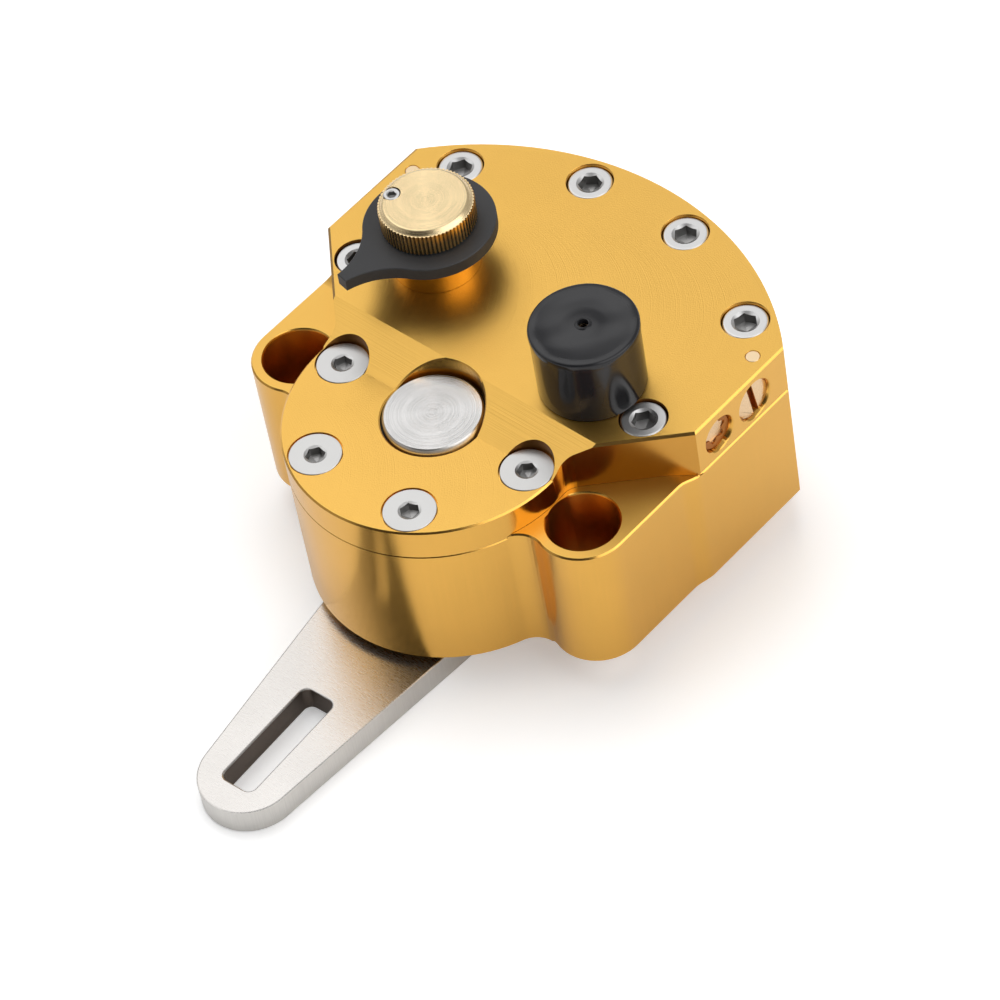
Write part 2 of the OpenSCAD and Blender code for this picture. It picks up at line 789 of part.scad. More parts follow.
// fasteners
module rim_screws() {
  color([0.8, 0.8, 0.8])
  at_rim() difference() {
    union() {
      bore(screw_r, cap_low, cap_seat + over);
      bore(cap_head_r, cap_seat + seat_fit, cap_seat + cap_head_h - edge_break);
      translate([0, 0, cap_seat + cap_head_h - edge_break])
        cylinder(r1 = cap_head_r, r2 = cap_head_r - edge_break, h = edge_break);
    }
    hex_hole(cap_key, cap_seat + cap_head_h, cap_head_h / 2);
  }
}

module lobe_screws() {
  color([0.8, 0.8, 0.8])
  at_lobe() difference() {
    union() {
      bore(screw_r, cap_low, flat_top - over);
      bore(flat_head_r, flat_top - flat_land, flat_top);
      translate([0, 0, flat_top - flat_land - flat_cone])
        cylinder(r1 = screw_r, r2 = flat_head_r, h = flat_cone);
    }
    hex_hole(flat_key, flat_top, flat_cone);
  }
}

module blank_pins() {
  color([0.8, 0.58, 0.3])
  at_pins() bore(pin_r, top_z - pin_len, top_z - flat_fit);
}

// adjuster
module adjuster_stem() {
  color([0.83, 0.58, 0.18])
  at_adjuster() difference() {
    union() {
      bore(stem_foot_r, stem_low, top_z + over);
      bore(stem_r, top_z + flat_fit, stem_top);
    }
    bore(spindle_r + run_fit, stem_low - over, stem_top + over);
    rotate([0, 0, detent_dir]) for (i = [0 : detent_count - 1]) {
      rotate([0, 0, 360 * i / detent_count])
        translate([detent_at, 0, stem_top + detent_ball_r - 2 * ring_wire / 3])
          sphere(r = detent_ball_r);
    }
    rotate([0, 0, detent_dir + 180]) translate([stop_at, 0, 0])
      bore(stop_r + seat_fit, stop_low, stem_top + over);
  }
}

module stop_pin() {
  color([0.6, 0.6, 0.62])
  at_adjuster() rotate([0, 0, detent_dir + 180]) translate([stop_at, 0, 0])
    bore(stop_r, stop_low + flat_fit, stop_top);
}

module valve_spool() {
  color([0.72, 0.72, 0.74])
  at_adjuster() difference() {
    union() {
      bore(spool_r, spool_low, spool_top);
      bore(spindle_r, spool_low, spindle_top);
    }
    translate([spool_r, 0, 0]) bore(passage_r, spool_low - over, cross_z + half);
    translate([0, 0, cross_z + stem_foot_h + half]) rotate_extrude() {
      translate([spindle_r - 2 * ring_wire, -ring_wire - seat_fit])
        square([spindle_r, 2 * (ring_wire + seat_fit)]);
    }
  }
}

module spool_ring() {
  color([0.05, 0.05, 0.05])
  at_adjuster() translate([0, 0, cross_z + stem_foot_h + half])
    o_ring(spindle_r - ring_wire + seat_fit / 2, ring_wire);
}

module pointer() {
  color([0.1, 0.1, 0.1])
  at_adjuster() difference() {
    rotate([0, 0, pointer_dir]) translate([0, 0, pointer_low])
      linear_extrude(height = pointer_t) pointer_plan();
    bore(spindle_r + seat_fit, pointer_low - over, knob_low + over);
    rotate([0, 0, detent_dir]) translate([detent_at, 0, 0])
      bore(detent_bore_r, pointer_low - over, knob_low + over);
    rotate([0, 0, detent_dir + 180 - stop_sweep / 2]) translate([0, 0, pointer_low - over])
      rotate_extrude(angle = stop_sweep) translate([stop_at - stop_r - 2 * run_fit, 0])
        square([2 * stop_r + 4 * run_fit, stop_deep + over]);
  }
}

module knob() {
  color([0.78, 0.6, 0.3])
  at_adjuster() difference() {
    union() {
      translate([0, 0, knob_low + edge_break]) linear_extrude(height = knob_h - 3 * edge_break)
        polygon(knurl_points(knurl_count, knob_r, knurl_depth));
      bore(knob_r - knurl_depth - edge_break, knob_low, knob_low + over);
      translate([0, 0, knob_top - 2 * edge_break])
        cylinder(r1 = knob_crown_r, r2 = knob_crown_r - 2 * edge_break, h = 2 * edge_break);
    }
    bore(spindle_r + seat_fit, knob_low - over, spindle_top + flat_fit);
    rotate([0, 0, detent_dir]) translate([detent_at, 0, 0]) {
      bore(detent_bore_r, knob_low - over, knob_top);
      bore(detent_r + seat_fit, detent_spring_top, knob_top + over);
    }
  }
}

module detent_ball() {
  color([0.7, 0.7, 0.7])
  at_adjuster() rotate([0, 0, detent_dir]) translate([detent_at, 0, detent_ball_z])
    sphere(r = detent_ball_r);
}

module detent_spring() {
  color([0.5, 0.5, 0.5])
  at_adjuster() rotate([0, 0, detent_dir])
    translate([detent_at, 0, detent_ball_z + detent_ball_r])
      coil(detent_bore_r - 2 * flat_fit - ring_wire / 2, ring_wire / 2, 3,
        detent_spring_top - detent_ball_z - detent_ball_r);
}

module detent_screw() {
  color([0.65, 0.62, 0.58])
  at_adjuster() rotate([0, 0, detent_dir]) translate([detent_at, 0, 0]) difference() {
    bore(detent_r, detent_screw_top - detent_screw_h, detent_screw_top);
    hex_hole(detent_key, detent_screw_top, detent_screw_h / 2);
  }
}

// compensator
module comp_sleeve() {
  color([0.76, 0.58, 0.28])
  at_comp() difference() {
    union() {
      bore(sleeve_foot_r, top_z - sleeve_foot_h, top_z + over);
      bore(sleeve_r, top_z + flat_fit, sleeve_top);
    }
    bore(sleeve_bore + run_fit, sleeve_floor, sleeve_top + over);
    bore(port_r, top_z - sleeve_foot_h - over, sleeve_top);
  }
}

module comp_piston() {
  color([0.75, 0.75, 0.76])
  at_comp() difference() {
    bore(sleeve_bore, piston_low, piston_top);
    translate([0, 0, (piston_low + piston_top) / 2]) rotate_extrude() {
      translate([sleeve_bore - 2 * ring_wire, -ring_wire - seat_fit])
        square([sleeve_bore, 2 * (ring_wire + seat_fit)]);
    }
  }
}

module piston_ring() {
  color([0.05, 0.05, 0.05])
  at_comp() translate([0, 0, (piston_low + piston_top) / 2])
    o_ring(sleeve_bore - ring_wire + seat_fit / 2, ring_wire);
}

module comp_spring() {
  color([0.55, 0.55, 0.55])
  at_comp() translate([0, 0, piston_top + flat_fit])
    coil(sleeve_bore - 2 * comp_wire - half, comp_wire, comp_coils, end_low - piston_top - 2 * flat_fit);
}

module comp_end() {
  color([0.78, 0.6, 0.3])
  at_comp() tube(sleeve_bore + run_fit - seat_fit, vent_r - 2 * flat_fit, end_low, sleeve_top);
}

module comp_cover() {
  color([0.09, 0.09, 0.1])
  at_comp() difference() {
    union() {
      bore(cover_r - cover_step, top_z + flat_fit, top_z + cover_h);
      bore(cover_r, top_z + cover_h - cover_band, top_z + cover_h - edge_break);
    }
    bore(sleeve_r + seat_fit, top_z - over, sleeve_top + flat_fit);
    bore(vent_r, sleeve_top - over, top_z + cover_h + over);
  }
}

// passage plugs and relief valve
module hex_plug() {
  color([0.8, 0.6, 0.32])
  along_side(valve_pass_y, hex_plug_in) difference() {
    cylinder(r = hex_plug_r, h = plug_len);
    translate([0, 0, plug_len / 2]) cylinder(r = hex_r(hex_plug_key), h = plug_len, $fn = 6);
  }
}

module slot_plug() {
  color([0.8, 0.6, 0.32])
  along_side(relief_y, slot_plug_in) difference() {
    cylinder(r = slot_plug_r, h = plug_len);
    rotate([0, 0, slot_lean]) translate([-slot_plug_r - over, -driver_w / 2, plug_len - driver_depth])
      cube([2 * (slot_plug_r + over), driver_w, 2 * driver_depth]);
  }
}

module relief_ball() {
  color([0.7, 0.7, 0.72])
  along_side(relief_y, ball_x + 2 * flat_fit) sphere(r = ball_r);
}

module relief_spring() {
  color([0.55, 0.55, 0.55])
  along_side(relief_y, ball_x + ball_r + 3 * flat_fit)
    coil(relief_r - 2 * comp_wire, comp_wire, 4, slot_plug_in - ball_x - ball_r - 4 * flat_fit);
}

body();
lid();
lid_seal();
lower_bush();
upper_bush();
lower_seal();
upper_seal();
shaft();
vane();
vane_key();
vane_strip();
dust_ring();
link_arm();
arm_screw();
rim_screws();
lobe_screws();
blank_pins();
adjuster_stem();
stop_pin();
valve_spool();
spool_ring();
pointer();
knob();
detent_ball();
detent_spring();
detent_screw();
comp_sleeve();
comp_piston();
piston_ring();
comp_spring();
comp_end();
comp_cover();
hex_plug();
slot_plug();
relief_ball();
relief_spring();
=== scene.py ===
import logging
import math
from contextlib import contextmanager
from dataclasses import dataclass, field
from enum import Enum
from typing import Callable, Iterator, Sequence

import bmesh
import bpy
import numpy as np
from mathutils import Matrix, Vector


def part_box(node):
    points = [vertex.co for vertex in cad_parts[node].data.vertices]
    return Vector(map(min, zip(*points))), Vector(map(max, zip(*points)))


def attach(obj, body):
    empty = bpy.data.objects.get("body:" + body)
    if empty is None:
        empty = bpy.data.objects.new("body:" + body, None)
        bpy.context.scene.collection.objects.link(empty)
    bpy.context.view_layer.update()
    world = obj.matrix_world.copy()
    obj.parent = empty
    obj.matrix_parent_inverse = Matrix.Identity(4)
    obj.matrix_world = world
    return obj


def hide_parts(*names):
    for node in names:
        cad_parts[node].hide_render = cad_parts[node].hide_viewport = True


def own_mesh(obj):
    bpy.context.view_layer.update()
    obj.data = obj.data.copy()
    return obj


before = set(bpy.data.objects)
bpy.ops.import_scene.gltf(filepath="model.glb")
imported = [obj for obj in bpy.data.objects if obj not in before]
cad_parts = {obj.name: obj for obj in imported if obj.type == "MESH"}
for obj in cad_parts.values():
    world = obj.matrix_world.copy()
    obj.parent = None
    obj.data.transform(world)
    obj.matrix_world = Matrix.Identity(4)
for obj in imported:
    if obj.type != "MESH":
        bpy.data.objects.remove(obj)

Array = np.ndarray
Colour = tuple[float, float, float]
Point = tuple[float, float, float]

MM = 0.001
# Angles in degrees: between triangles of one plane, and of an edge that may take a chamfer.
ONE_PLANE = 0.4
EDGE_ANGLE = 22.0
# Level faces: least upright part of the normal, most unevenness in millimetres, steps per millimetre.
LEVEL = 0.9998
LEVEL_GAP = 0.001
LEVEL_STEPS = 20
# Upright part of the normal of the lid's ramp, and of the chamfers along the straight sides.
RAMP_UP = 0.89
SIDE_UP = 0.6
# Part of a finish's change of colour that comes from its slow tone, the rest from its marks.
TONE_SHARE = 0.6
# Millimetres in the plan: the dial's axis, and the lobe screws' distance from the shaft.
DIAL_AXIS = (-21.9, 26.4)
LOBE_REACH = 22.45
# Metres: the camera's place.
EYE = (0.444372, -0.368263, 0.662360)
log = logging.getLogger("damper")


class Slot(Enum):
    """Material slots of the record."""

    GOLD_BODY = "gold_body"
    GOLD_LID = "gold_lid"
    GOLD_STEM = "gold_stem"
    STAINLESS = "stainless"
    STEEL = "steel"
    BRONZE = "bronze"
    BRASS = "brass"
    LIGHT_ALLOY = "light_alloy"
    BLACK_ALLOY = "black_alloy"
    BLACK_VINYL = "black_vinyl"
    SEAL_RUBBER = "seal_rubber"
    FILLED_PLASTIC = "filled_plastic"


class Marks(Enum):
    """What a tool leaves on a surface, and a knurl's painted shade and highlight."""

    FEED = "feed_marks"
    RINGS = "ring_marks"
    KNURL_SHADE = "knurl_shade_marks"
    LINES = "line_marks"
    GRAIN = "fine_grain"


class NodeGraph:
    """Adds shader nodes to one tree and joins them."""

    def __init__(self, tree: bpy.types.NodeTree) -> None:
        """Args: tree: the node tree to fill."""
        self.tree = tree

    def add(self, kind: str, *values: object, **settings: object) -> bpy.types.Node:
        """Adds a node, sets its properties and fills its first inputs.

        Args:
            kind: Blender's node type.
            values: sockets or plain values for its inputs, in their order.
            settings: property names and values.
        Returns:
            The new node.
        """
        node = self.tree.nodes.new(kind)
        for key, value in settings.items():
            setattr(node, key, value)
        for place, value in enumerate(values):
            self.join(value, node.inputs[place])
        return node

    def join(self, source: object, target: bpy.types.NodeSocket) -> None:
        """Links a socket to another, or writes a plain value into it.

        Args:
            source: a socket, number or tuple.
            target: the input socket.
        """
        if isinstance(source, bpy.types.NodeSocket):
            self.tree.links.new(source, target)
        else:
            target.default_value = source

    def maths(self, operation: str, *values: object) -> bpy.types.NodeSocket:
        """Adds a Math node.

        Args:
            operation: the Math operation.
            values: sockets or numbers for its inputs.
        Returns:
            The output socket.
        """
        return self.add("ShaderNodeMath", *values, operation=operation).outputs[0]

    def vector(self, operation: str, *values: object, result: str = "Vector") -> bpy.types.NodeSocket:
        """Adds a Vector Math node.

        Args:
            operation: the Vector Math operation.
            values: sockets or vectors for its inputs.
            result: name of the output, which is Value for a length or a dot product.
        Returns:
            The output socket.
        """
        return self.add("ShaderNodeVectorMath", *values, operation=operation).outputs[result]

    def carry(self, value: object, source: tuple[object, object], result: tuple[object, object],
              soft: bool = False) -> bpy.types.NodeSocket:
        """Carries a value from one range to another.

        Args:
            value: the socket to carry.
            source: the range it comes from.
            result: the range it goes to.
            soft: whether the change starts and ends gently.
        Returns:
            The output socket.
        """
        node = self.add("ShaderNodeMapRange", interpolation_type="SMOOTHSTEP" if soft else "LINEAR")
        names = ("Value", "From Min", "From Max", "To Min", "To Max")
        for name, entry in zip(names, (value, *source, *result)):
            self.join(entry, node.inputs[name])
        return node.outputs["Result"]


class EffectGroup:
    """A shared surface effect, kept as one node group."""

    made: dict[str, bpy.types.NodeTree] = {}

    def __init__(self, name: str, numbers: dict[str, float]) -> None:
        """Starts a group that takes a vector and numbers, and gives Height and Tone.

        Args:
            name: the group's name.
            numbers: input names with their defaults.
        """
        self.tree = bpy.data.node_groups.new(name, "ShaderNodeTree")
        face = self.tree.interface
        face.new_socket(name="Vector", in_out="INPUT", socket_type="NodeSocketVector")
        for key, value in numbers.items():
            socket = face.new_socket(name=key, in_out="INPUT", socket_type="NodeSocketFloat")
            socket.default_value = value
        for key in ("Height", "Tone"):
            face.new_socket(name=key, in_out="OUTPUT", socket_type="NodeSocketFloat")
        self.graph = NodeGraph(self.tree)
        self.inputs = self.graph.add("NodeGroupInput").outputs
        self.outputs = self.graph.add("NodeGroupOutput").inputs
        EffectGroup.made[name] = self.tree

    def finish(self, height: object, tone: object) -> None:
        """Joins the two results.

        Args:
            height: relief between 0 and 1.
            tone: slow change between 0 and 1.
        """
        self.graph.join(height, self.outputs["Height"])
        self.graph.join(tone, self.outputs["Tone"])


class SurfaceEffects:
    """Builds every shared effect once."""

    def noise(self, group: EffectGroup, place: object, scale: object, detail: float = 3.0,
              entry: str = "Vector") -> bpy.types.NodeSocket:
        """Noise between 0 and 1.

        Args:
            group: the group it belongs to.
            place: the point, or the number for noise along one number.
            scale: changes in each unit of the place.
            detail: layers of finer noise.
            entry: Vector for a point, W for a number.
        Returns:
            The noise output.
        """
        node = group.graph.add("ShaderNodeTexNoise", noise_dimensions="1D" if entry == "W" else "3D")
        group.graph.join(place, node.inputs[entry])
        group.graph.join(scale, node.inputs["Scale"])
        group.graph.join(detail, node.inputs["Detail"])
        return node.outputs["Fac"]

    def slow(self, group: EffectGroup, size: float) -> bpy.types.NodeSocket:
        """Soft cloudy change over a surface, with its scale per millimetre."""
        return self.noise(group, group.inputs["Vector"], size)

    def from_axis(self, group: EffectGroup) -> bpy.types.NodeSocket:
        """Distance from the Z axis."""
        flat = group.graph.vector("MULTIPLY", group.inputs["Vector"], (1.0, 1.0, 0.0))
        return group.graph.vector("LENGTH", flat, result="Value")

    def feed(self) -> None:
        """Arcs left by a face mill: the mark number is x minus the root of radius squared less y squared."""
        group = EffectGroup(Marks.FEED.value, {"Radius": 22.0, "Pitch": 0.35, "Break": 0.6})
        graph, radius = group.graph, group.inputs["Radius"]
        split = graph.add("ShaderNodeSeparateXYZ", group.inputs["Vector"])
        width = graph.maths("MULTIPLY", radius, 1.7)
        across = graph.maths("PINGPONG", split.outputs["Y"], width)
        across = graph.maths("SUBTRACT", across, graph.maths("MULTIPLY", width, 0.5))
        square = graph.maths("MULTIPLY", across, across)
        inside = graph.maths("SUBTRACT", graph.maths("POWER", radius, 2.0), square)
        root = graph.maths("SQRT", graph.maths("MAXIMUM", inside, 0.0))
        mark = graph.maths("DIVIDE", graph.maths("SUBTRACT", split.outputs["X"], root), group.inputs["Pitch"])
        fine = self.noise(group, mark, 1.0, entry="W")
        speck = self.noise(group, group.inputs["Vector"], 4.0, 4.0)
        both = graph.add("ShaderNodeMix")
        for place, value in ((0, group.inputs["Break"]), (2, fine), (3, speck)):
            graph.join(value, both.inputs[place])
        group.finish(both.outputs[0], self.slow(group, 0.05))

    def rings(self) -> None:
        """Turning marks: noise along the distance from the axis."""
        group = EffectGroup(Marks.RINGS.value, {"Pitch": 0.2})
        mark = group.graph.maths("DIVIDE", self.from_axis(group), group.inputs["Pitch"])
        group.finish(self.noise(group, mark, 1.0, 4.0, "W"), self.slow(group, 0.2))

    def knurl(self) -> None:
        """Painted shade in the roots of a knurl and painted highlight on its ridges: distance from the axis,
        from 0 at the roots to 1 at the ridges.
        """
        group = EffectGroup(Marks.KNURL_SHADE.value, {"Root": 8.65, "Ridge": 8.95})
        reach = (group.inputs["Root"], group.inputs["Ridge"])
        fade = group.graph.carry(self.from_axis(group), reach, (0.0, 1.0), soft=True)
        group.finish(fade, fade)

    def lines(self) -> None:
        """Brushing or wall milling marks that run along x: noise squeezed across them."""
        group = EffectGroup(Marks.LINES.value, {"Pitch": 0.15, "Length": 14.0})
        graph = group.graph
        along = graph.maths("DIVIDE", 1.0, group.inputs["Length"])
        thin = graph.maths("DIVIDE", 1.0, group.inputs["Pitch"])
        size = graph.add("ShaderNodeCombineXYZ", along, thin, thin)
        scaled = graph.vector("MULTIPLY", group.inputs["Vector"], size.outputs[0])
        group.finish(self.noise(group, scaled, 1.0), self.slow(group, 0.06))

    def grain(self) -> None:
        """Fine blasted or moulded grain."""
        group = EffectGroup(Marks.GRAIN.value, {"Pitch": 0.12})
        size = group.graph.maths("DIVIDE", 1.0, group.inputs["Pitch"])
        group.finish(self.noise(group, group.inputs["Vector"], size), self.slow(group, 0.12))

    def build(self) -> None:
        """Makes the five groups."""
        for effect in (self.feed, self.rings, self.knurl, self.lines, self.grain):
            effect()


@dataclass(frozen=True)
class Finish:
    """One surface finish, with sizes in millimetres.

    The marks' relief goes to bump and roughness, and the slow tone changes the colour a little.
    """

    name: str
    slot: Slot
    colour: Colour
    roughness: float
    marks: Marks
    metallic: float = 1.0
    shade: float = 0.9
    rough_swing: float = 0.1
    depth: float = 0.004
    centre: Point = (0.0, 0.0, 0.0)
    turn: Point = (0.0, 0.0, 0.0)
    sizes: tuple[tuple[str, float], ...] = ()
    coat: float = 0.0
    coat_roughness: float = 0.1
    specular: float = 0.5

    def build(self) -> bpy.types.Material:
        """Makes the material.

        Returns:
            The material, or the one made before under this name.
        """
        if self.name in bpy.data.materials:
            return bpy.data.materials[self.name]
        material = bpy.data.materials.new(self.name)
        material.use_nodes = True
        material.diffuse_color = (*self.colour, 1.0)
        graph = NodeGraph(material.node_tree)
        shader = material.node_tree.nodes["Principled BSDF"]
        place = graph.add("ShaderNodeTexCoord")
        moved = graph.add("ShaderNodeMapping", vector_type="TEXTURE")
        moved.inputs["Location"].default_value = [value * MM for value in self.centre]
        moved.inputs["Rotation"].default_value = [math.radians(value) for value in self.turn]
        moved.inputs["Scale"].default_value = (MM, MM, MM)
        graph.join(place.outputs["Object"], moved.inputs["Vector"])
        marks = graph.add("ShaderNodeGroup", node_tree=EffectGroup.made[self.marks.value])
        graph.join(moved.outputs[0], marks.inputs["Vector"])
        for key, value in self.sizes:
            marks.inputs[key].default_value = value
        mixed = graph.add("ShaderNodeMix", data_type="RGBA")
        shaded = tuple(value * self.shade for value in self.colour)
        light = tuple(min(1.0, value * (2.0 - self.shade)) for value in self.colour)
        blend = graph.maths("ADD", graph.maths("MULTIPLY", marks.outputs["Tone"], TONE_SHARE),
                            graph.maths("MULTIPLY", marks.outputs["Height"], 1.0 - TONE_SHARE))
        graph.join(blend, mixed.inputs[0])
        graph.join((*shaded, 1.0), mixed.inputs[6])
        graph.join((*light, 1.0), mixed.inputs[7])
        graph.join(mixed.outputs[2], shader.inputs["Base Color"])
        half = self.rough_swing / 2
        rough = graph.carry(marks.outputs["Height"], (0.0, 1.0),
                            (self.roughness - half, self.roughness + half))
        graph.join(rough, shader.inputs["Roughness"])
        bump = graph.add("ShaderNodeBump")
        bump.inputs["Strength"].default_value = 1.0
        bump.inputs["Distance"].default_value = self.depth * MM
        graph.join(marks.outputs["Height"], bump.inputs["Height"])
        graph.join(bump.outputs[0], shader.inputs["Normal"])
        for name, value in (("Metallic", self.metallic), ("Specular IOR Level", self.specular),
                            ("Coat Weight", self.coat), ("Coat Roughness", self.coat_roughness)):
            shader.inputs[name].default_value = value
        return material


GOLD: Colour = (0.84, 0.50, 0.115)
DEEP_GOLD: Colour = (0.80, 0.445, 0.095)
PALE_STEEL: Colour = (0.68, 0.67, 0.66)


class Finishes:
    """Every finish on the damper."""

    milled_top = Finish("gold_milled_top", Slot.GOLD_LID, GOLD, 0.34, Marks.FEED, shade=0.93,
                        rough_swing=0.16, depth=0.05, turn=(0, 0, 25),
                        sizes=(("Radius", 26.0), ("Pitch", 0.25)))
    ramp = Finish("gold_milled_ramp", Slot.GOLD_LID, GOLD, 0.34, Marks.LINES, shade=0.88, depth=0.04,
                  sizes=(("Pitch", 0.2), ("Length", 40.0)))
    # Dark gold on the ribbed chamfer at the neck: painted shade.
    neck_edge_shade = Finish("gold_ribbed_edge_shade", Slot.GOLD_LID, (0.36, 0.20, 0.05), 0.3, Marks.LINES, shade=0.6,
                       depth=0.05, turn=(0, 0, 45), sizes=(("Pitch", 0.12), ("Length", 12.0)))
    lid_wall = Finish("gold_polished_lid", Slot.GOLD_LID, DEEP_GOLD, 0.22, Marks.LINES, depth=0.002,
                      turn=(0, 90, 0), sizes=(("Pitch", 0.5), ("Length", 20.0)))
    body_wall = Finish("gold_polished_body", Slot.GOLD_BODY, DEEP_GOLD, 0.22, Marks.LINES, depth=0.002,
                       turn=(0, 90, 0), sizes=(("Pitch", 0.5), ("Length", 25.0)))
    body_floor = Finish("gold_milled_ears", Slot.GOLD_BODY, GOLD, 0.38, Marks.FEED, depth=0.008,
                        sizes=(("Radius", 8.0), ("Pitch", 0.3)))
    # Darker, redder gold inside the ear bores: painted shade.
    bore_shade = Finish("gold_bore_shade", Slot.GOLD_BODY, (0.56, 0.24, 0.04), 0.36, Marks.GRAIN, depth=0.004,
                       sizes=(("Pitch", 0.3),))
    stem = Finish("gold_turned_stem", Slot.GOLD_STEM, DEEP_GOLD, 0.24, Marks.LINES, depth=0.002,
                  sizes=(("Pitch", 0.2), ("Length", 25.0)))
    brass_end = Finish("brass_turned_end", Slot.BRASS, (0.93, 0.71, 0.41), 0.22, Marks.RINGS, shade=0.88,
                       depth=0.02, centre=(*DIAL_AXIS, 0), sizes=(("Pitch", 0.045),))
    # Knurl: painted shade in the roots and painted highlight on the ridges, by distance from the dial's axis.
    brass_knurl = Finish("brass_knurl_shade", Slot.BRASS, (0.54, 0.34, 0.13), 0.26, Marks.KNURL_SHADE, shade=0.3,
                         depth=0.0004, centre=(*DIAL_AXIS, 0), sizes=(("Root", 8.66), ("Ridge", 8.9)))
    brass_plug = Finish("brass_plug", Slot.BRASS, (0.84, 0.60, 0.36), 0.28, Marks.LINES, depth=0.003,
                        sizes=(("Pitch", 0.15), ("Length", 8.0)))
    # Dark brass on the plugs' recess rims and slot: painted shade.
    plug_shade = Finish("brass_recess_shade", Slot.BRASS, (0.42, 0.16, 0.04), 0.35, Marks.GRAIN, depth=0.003)
    # Dark gold on the walls of the cuts round the screws: painted shade.
    recess_shade = Finish("gold_recess_shade", Slot.GOLD_LID, (0.22, 0.09, 0.02), 0.42, Marks.GRAIN, depth=0.004)
    # Darker gold on the walls of the hollow between lobe and fan: painted shade, on the lid and on the body.
    neck_wall_shade = Finish("gold_lid_neck_shade", Slot.GOLD_LID, (0.62, 0.31, 0.06), 0.24, Marks.GRAIN, depth=0.003)
    neck_body_shade = Finish("gold_body_neck_shade", Slot.GOLD_BODY, (0.50, 0.22, 0.04), 0.3, Marks.GRAIN, depth=0.003)
    pin_end = Finish("pin_end", Slot.BRASS, (0.86, 0.66, 0.42), 0.32, Marks.GRAIN, depth=0.003)
    bronze = Finish("bronze_bush", Slot.BRONZE, (0.55, 0.36, 0.16), 0.35, Marks.LINES, depth=0.003)
    shaft_end = Finish("steel_turned_end", Slot.STAINLESS, PALE_STEEL, 0.22, Marks.RINGS, shade=0.88,
                       depth=0.02, sizes=(("Pitch", 0.05),))
    arm_face = Finish("steel_brushed_arm", Slot.STAINLESS, (0.66, 0.635, 0.61), 0.28, Marks.LINES, shade=0.84,
                      depth=0.02, turn=(0, 0, 3.2), sizes=(("Pitch", 0.14), ("Length", 1.2)))
    arm_edge = Finish("steel_cut_edge", Slot.STAINLESS, (0.64, 0.62, 0.59), 0.3, Marks.LINES, shade=0.76,
                      depth=0.02, turn=(0, 90, 0), sizes=(("Pitch", 0.22), ("Length", 6.0)))
    # Dark steel on the walls of the arm's slot: painted shade.
    slot_shade = Finish("steel_slot_shade", Slot.STAINLESS, (0.16, 0.13, 0.11), 0.5, Marks.GRAIN, shade=0.8,
                       depth=0.004)
    screw = Finish("steel_screw", Slot.STAINLESS, (0.68, 0.675, 0.67), 0.33, Marks.RINGS, shade=0.92,
                   depth=0.001)
    flat_screw = Finish("steel_flat_screw", Slot.STAINLESS, (0.66, 0.655, 0.645), 0.38, Marks.GRAIN,
                        shade=0.92, depth=0.002)
    # Darker steel inside the screw recesses: painted shade.
    socket = Finish("steel_socket_shade", Slot.STAINLESS, (0.36, 0.355, 0.35), 0.34, Marks.GRAIN, shade=0.8,
                    depth=0.004, sizes=(("Pitch", 0.4),))
    dark_steel = Finish("steel_dark", Slot.STEEL, (0.40, 0.40, 0.41), 0.35, Marks.GRAIN, depth=0.002)
    bright_steel = Finish("steel_bright", Slot.STEEL, (0.70, 0.70, 0.70), 0.2, Marks.GRAIN, depth=0.001)
    light_alloy = Finish("alloy_plain", Slot.LIGHT_ALLOY, (0.66, 0.66, 0.67), 0.32, Marks.LINES, depth=0.003)
    pointer_face = Finish("black_blasted", Slot.BLACK_ALLOY, (0.032, 0.032, 0.034), 0.55, Marks.GRAIN,
                          metallic=0.0, shade=0.8, depth=0.003, sizes=(("Pitch", 0.2),))
    vinyl = Finish("black_dipped_vinyl", Slot.BLACK_VINYL, (0.016, 0.016, 0.018), 0.16, Marks.GRAIN,
                   metallic=0.0, shade=0.8, depth=0.006, sizes=(("Pitch", 2.5),), coat=0.06,
                   coat_roughness=0.06, specular=0.35)
    rubber = Finish("black_rubber", Slot.SEAL_RUBBER, (0.02, 0.02, 0.02), 0.6, Marks.GRAIN, metallic=0.0,
                    shade=0.85, depth=0.003)
    plastic = Finish("filled_plastic", Slot.FILLED_PLASTIC, (0.50, 0.44, 0.34), 0.5, Marks.GRAIN,
                     metallic=0.0, depth=0.003)


@dataclass(frozen=True)
class EdgeSet:
    """Edges of a mesh as arrays, in millimetres."""

    middle: Array
    first: Array
    second: Array

    def level(self, z: float, slack: float = 0.05) -> Array:
        """Edges that lie at one height."""
        return np.abs(self.middle[:, 2] - z) < slack

    def round_axis(self, x: float, y: float, radius: float, slack: float = 0.35) -> Array:
        """Edges on a circle about an upright axis."""
        return np.abs(self.far_from(x, y) - radius) < slack

    def upward(self, least: float = 0.8) -> Array:
        """Edges with a face that looks up on one side."""
        return np.maximum(self.first[:, 2], self.second[:, 2]) > least

    def wall(self) -> Array:
        """Normal of the steeper face at each edge."""
        steep = np.abs(self.first[:, 2]) < np.abs(self.second[:, 2])
        return np.where(steep[:, None], self.first, self.second)

    def far_from(self, x: float, y: float) -> Array:
        """Distance from an upright axis."""
        return np.hypot(self.middle[:, 0] - x, self.middle[:, 1] - y)


@dataclass(frozen=True)
class Chamfer:
    """One width of chamfer and where it goes."""

    width: float
    where: Callable[[EdgeSet], Array]


@dataclass(frozen=True)
class Patch:
    """One finish and which faces carry it, from their middles in millimetres and their normals."""

    finish: Finish
    where: Callable[[Array, Array], Array]


@contextmanager
def editing(mesh: bpy.types.Mesh) -> Iterator[bmesh.types.BMesh]:
    """Opens a mesh for a change and writes it back.

    Args:
        mesh: the mesh to change.
    Returns:
        Its editable form, which is good until the block ends.
    """
    work = bmesh.new()
    work.from_mesh(mesh)
    yield work
    work.to_mesh(mesh)
    work.free()


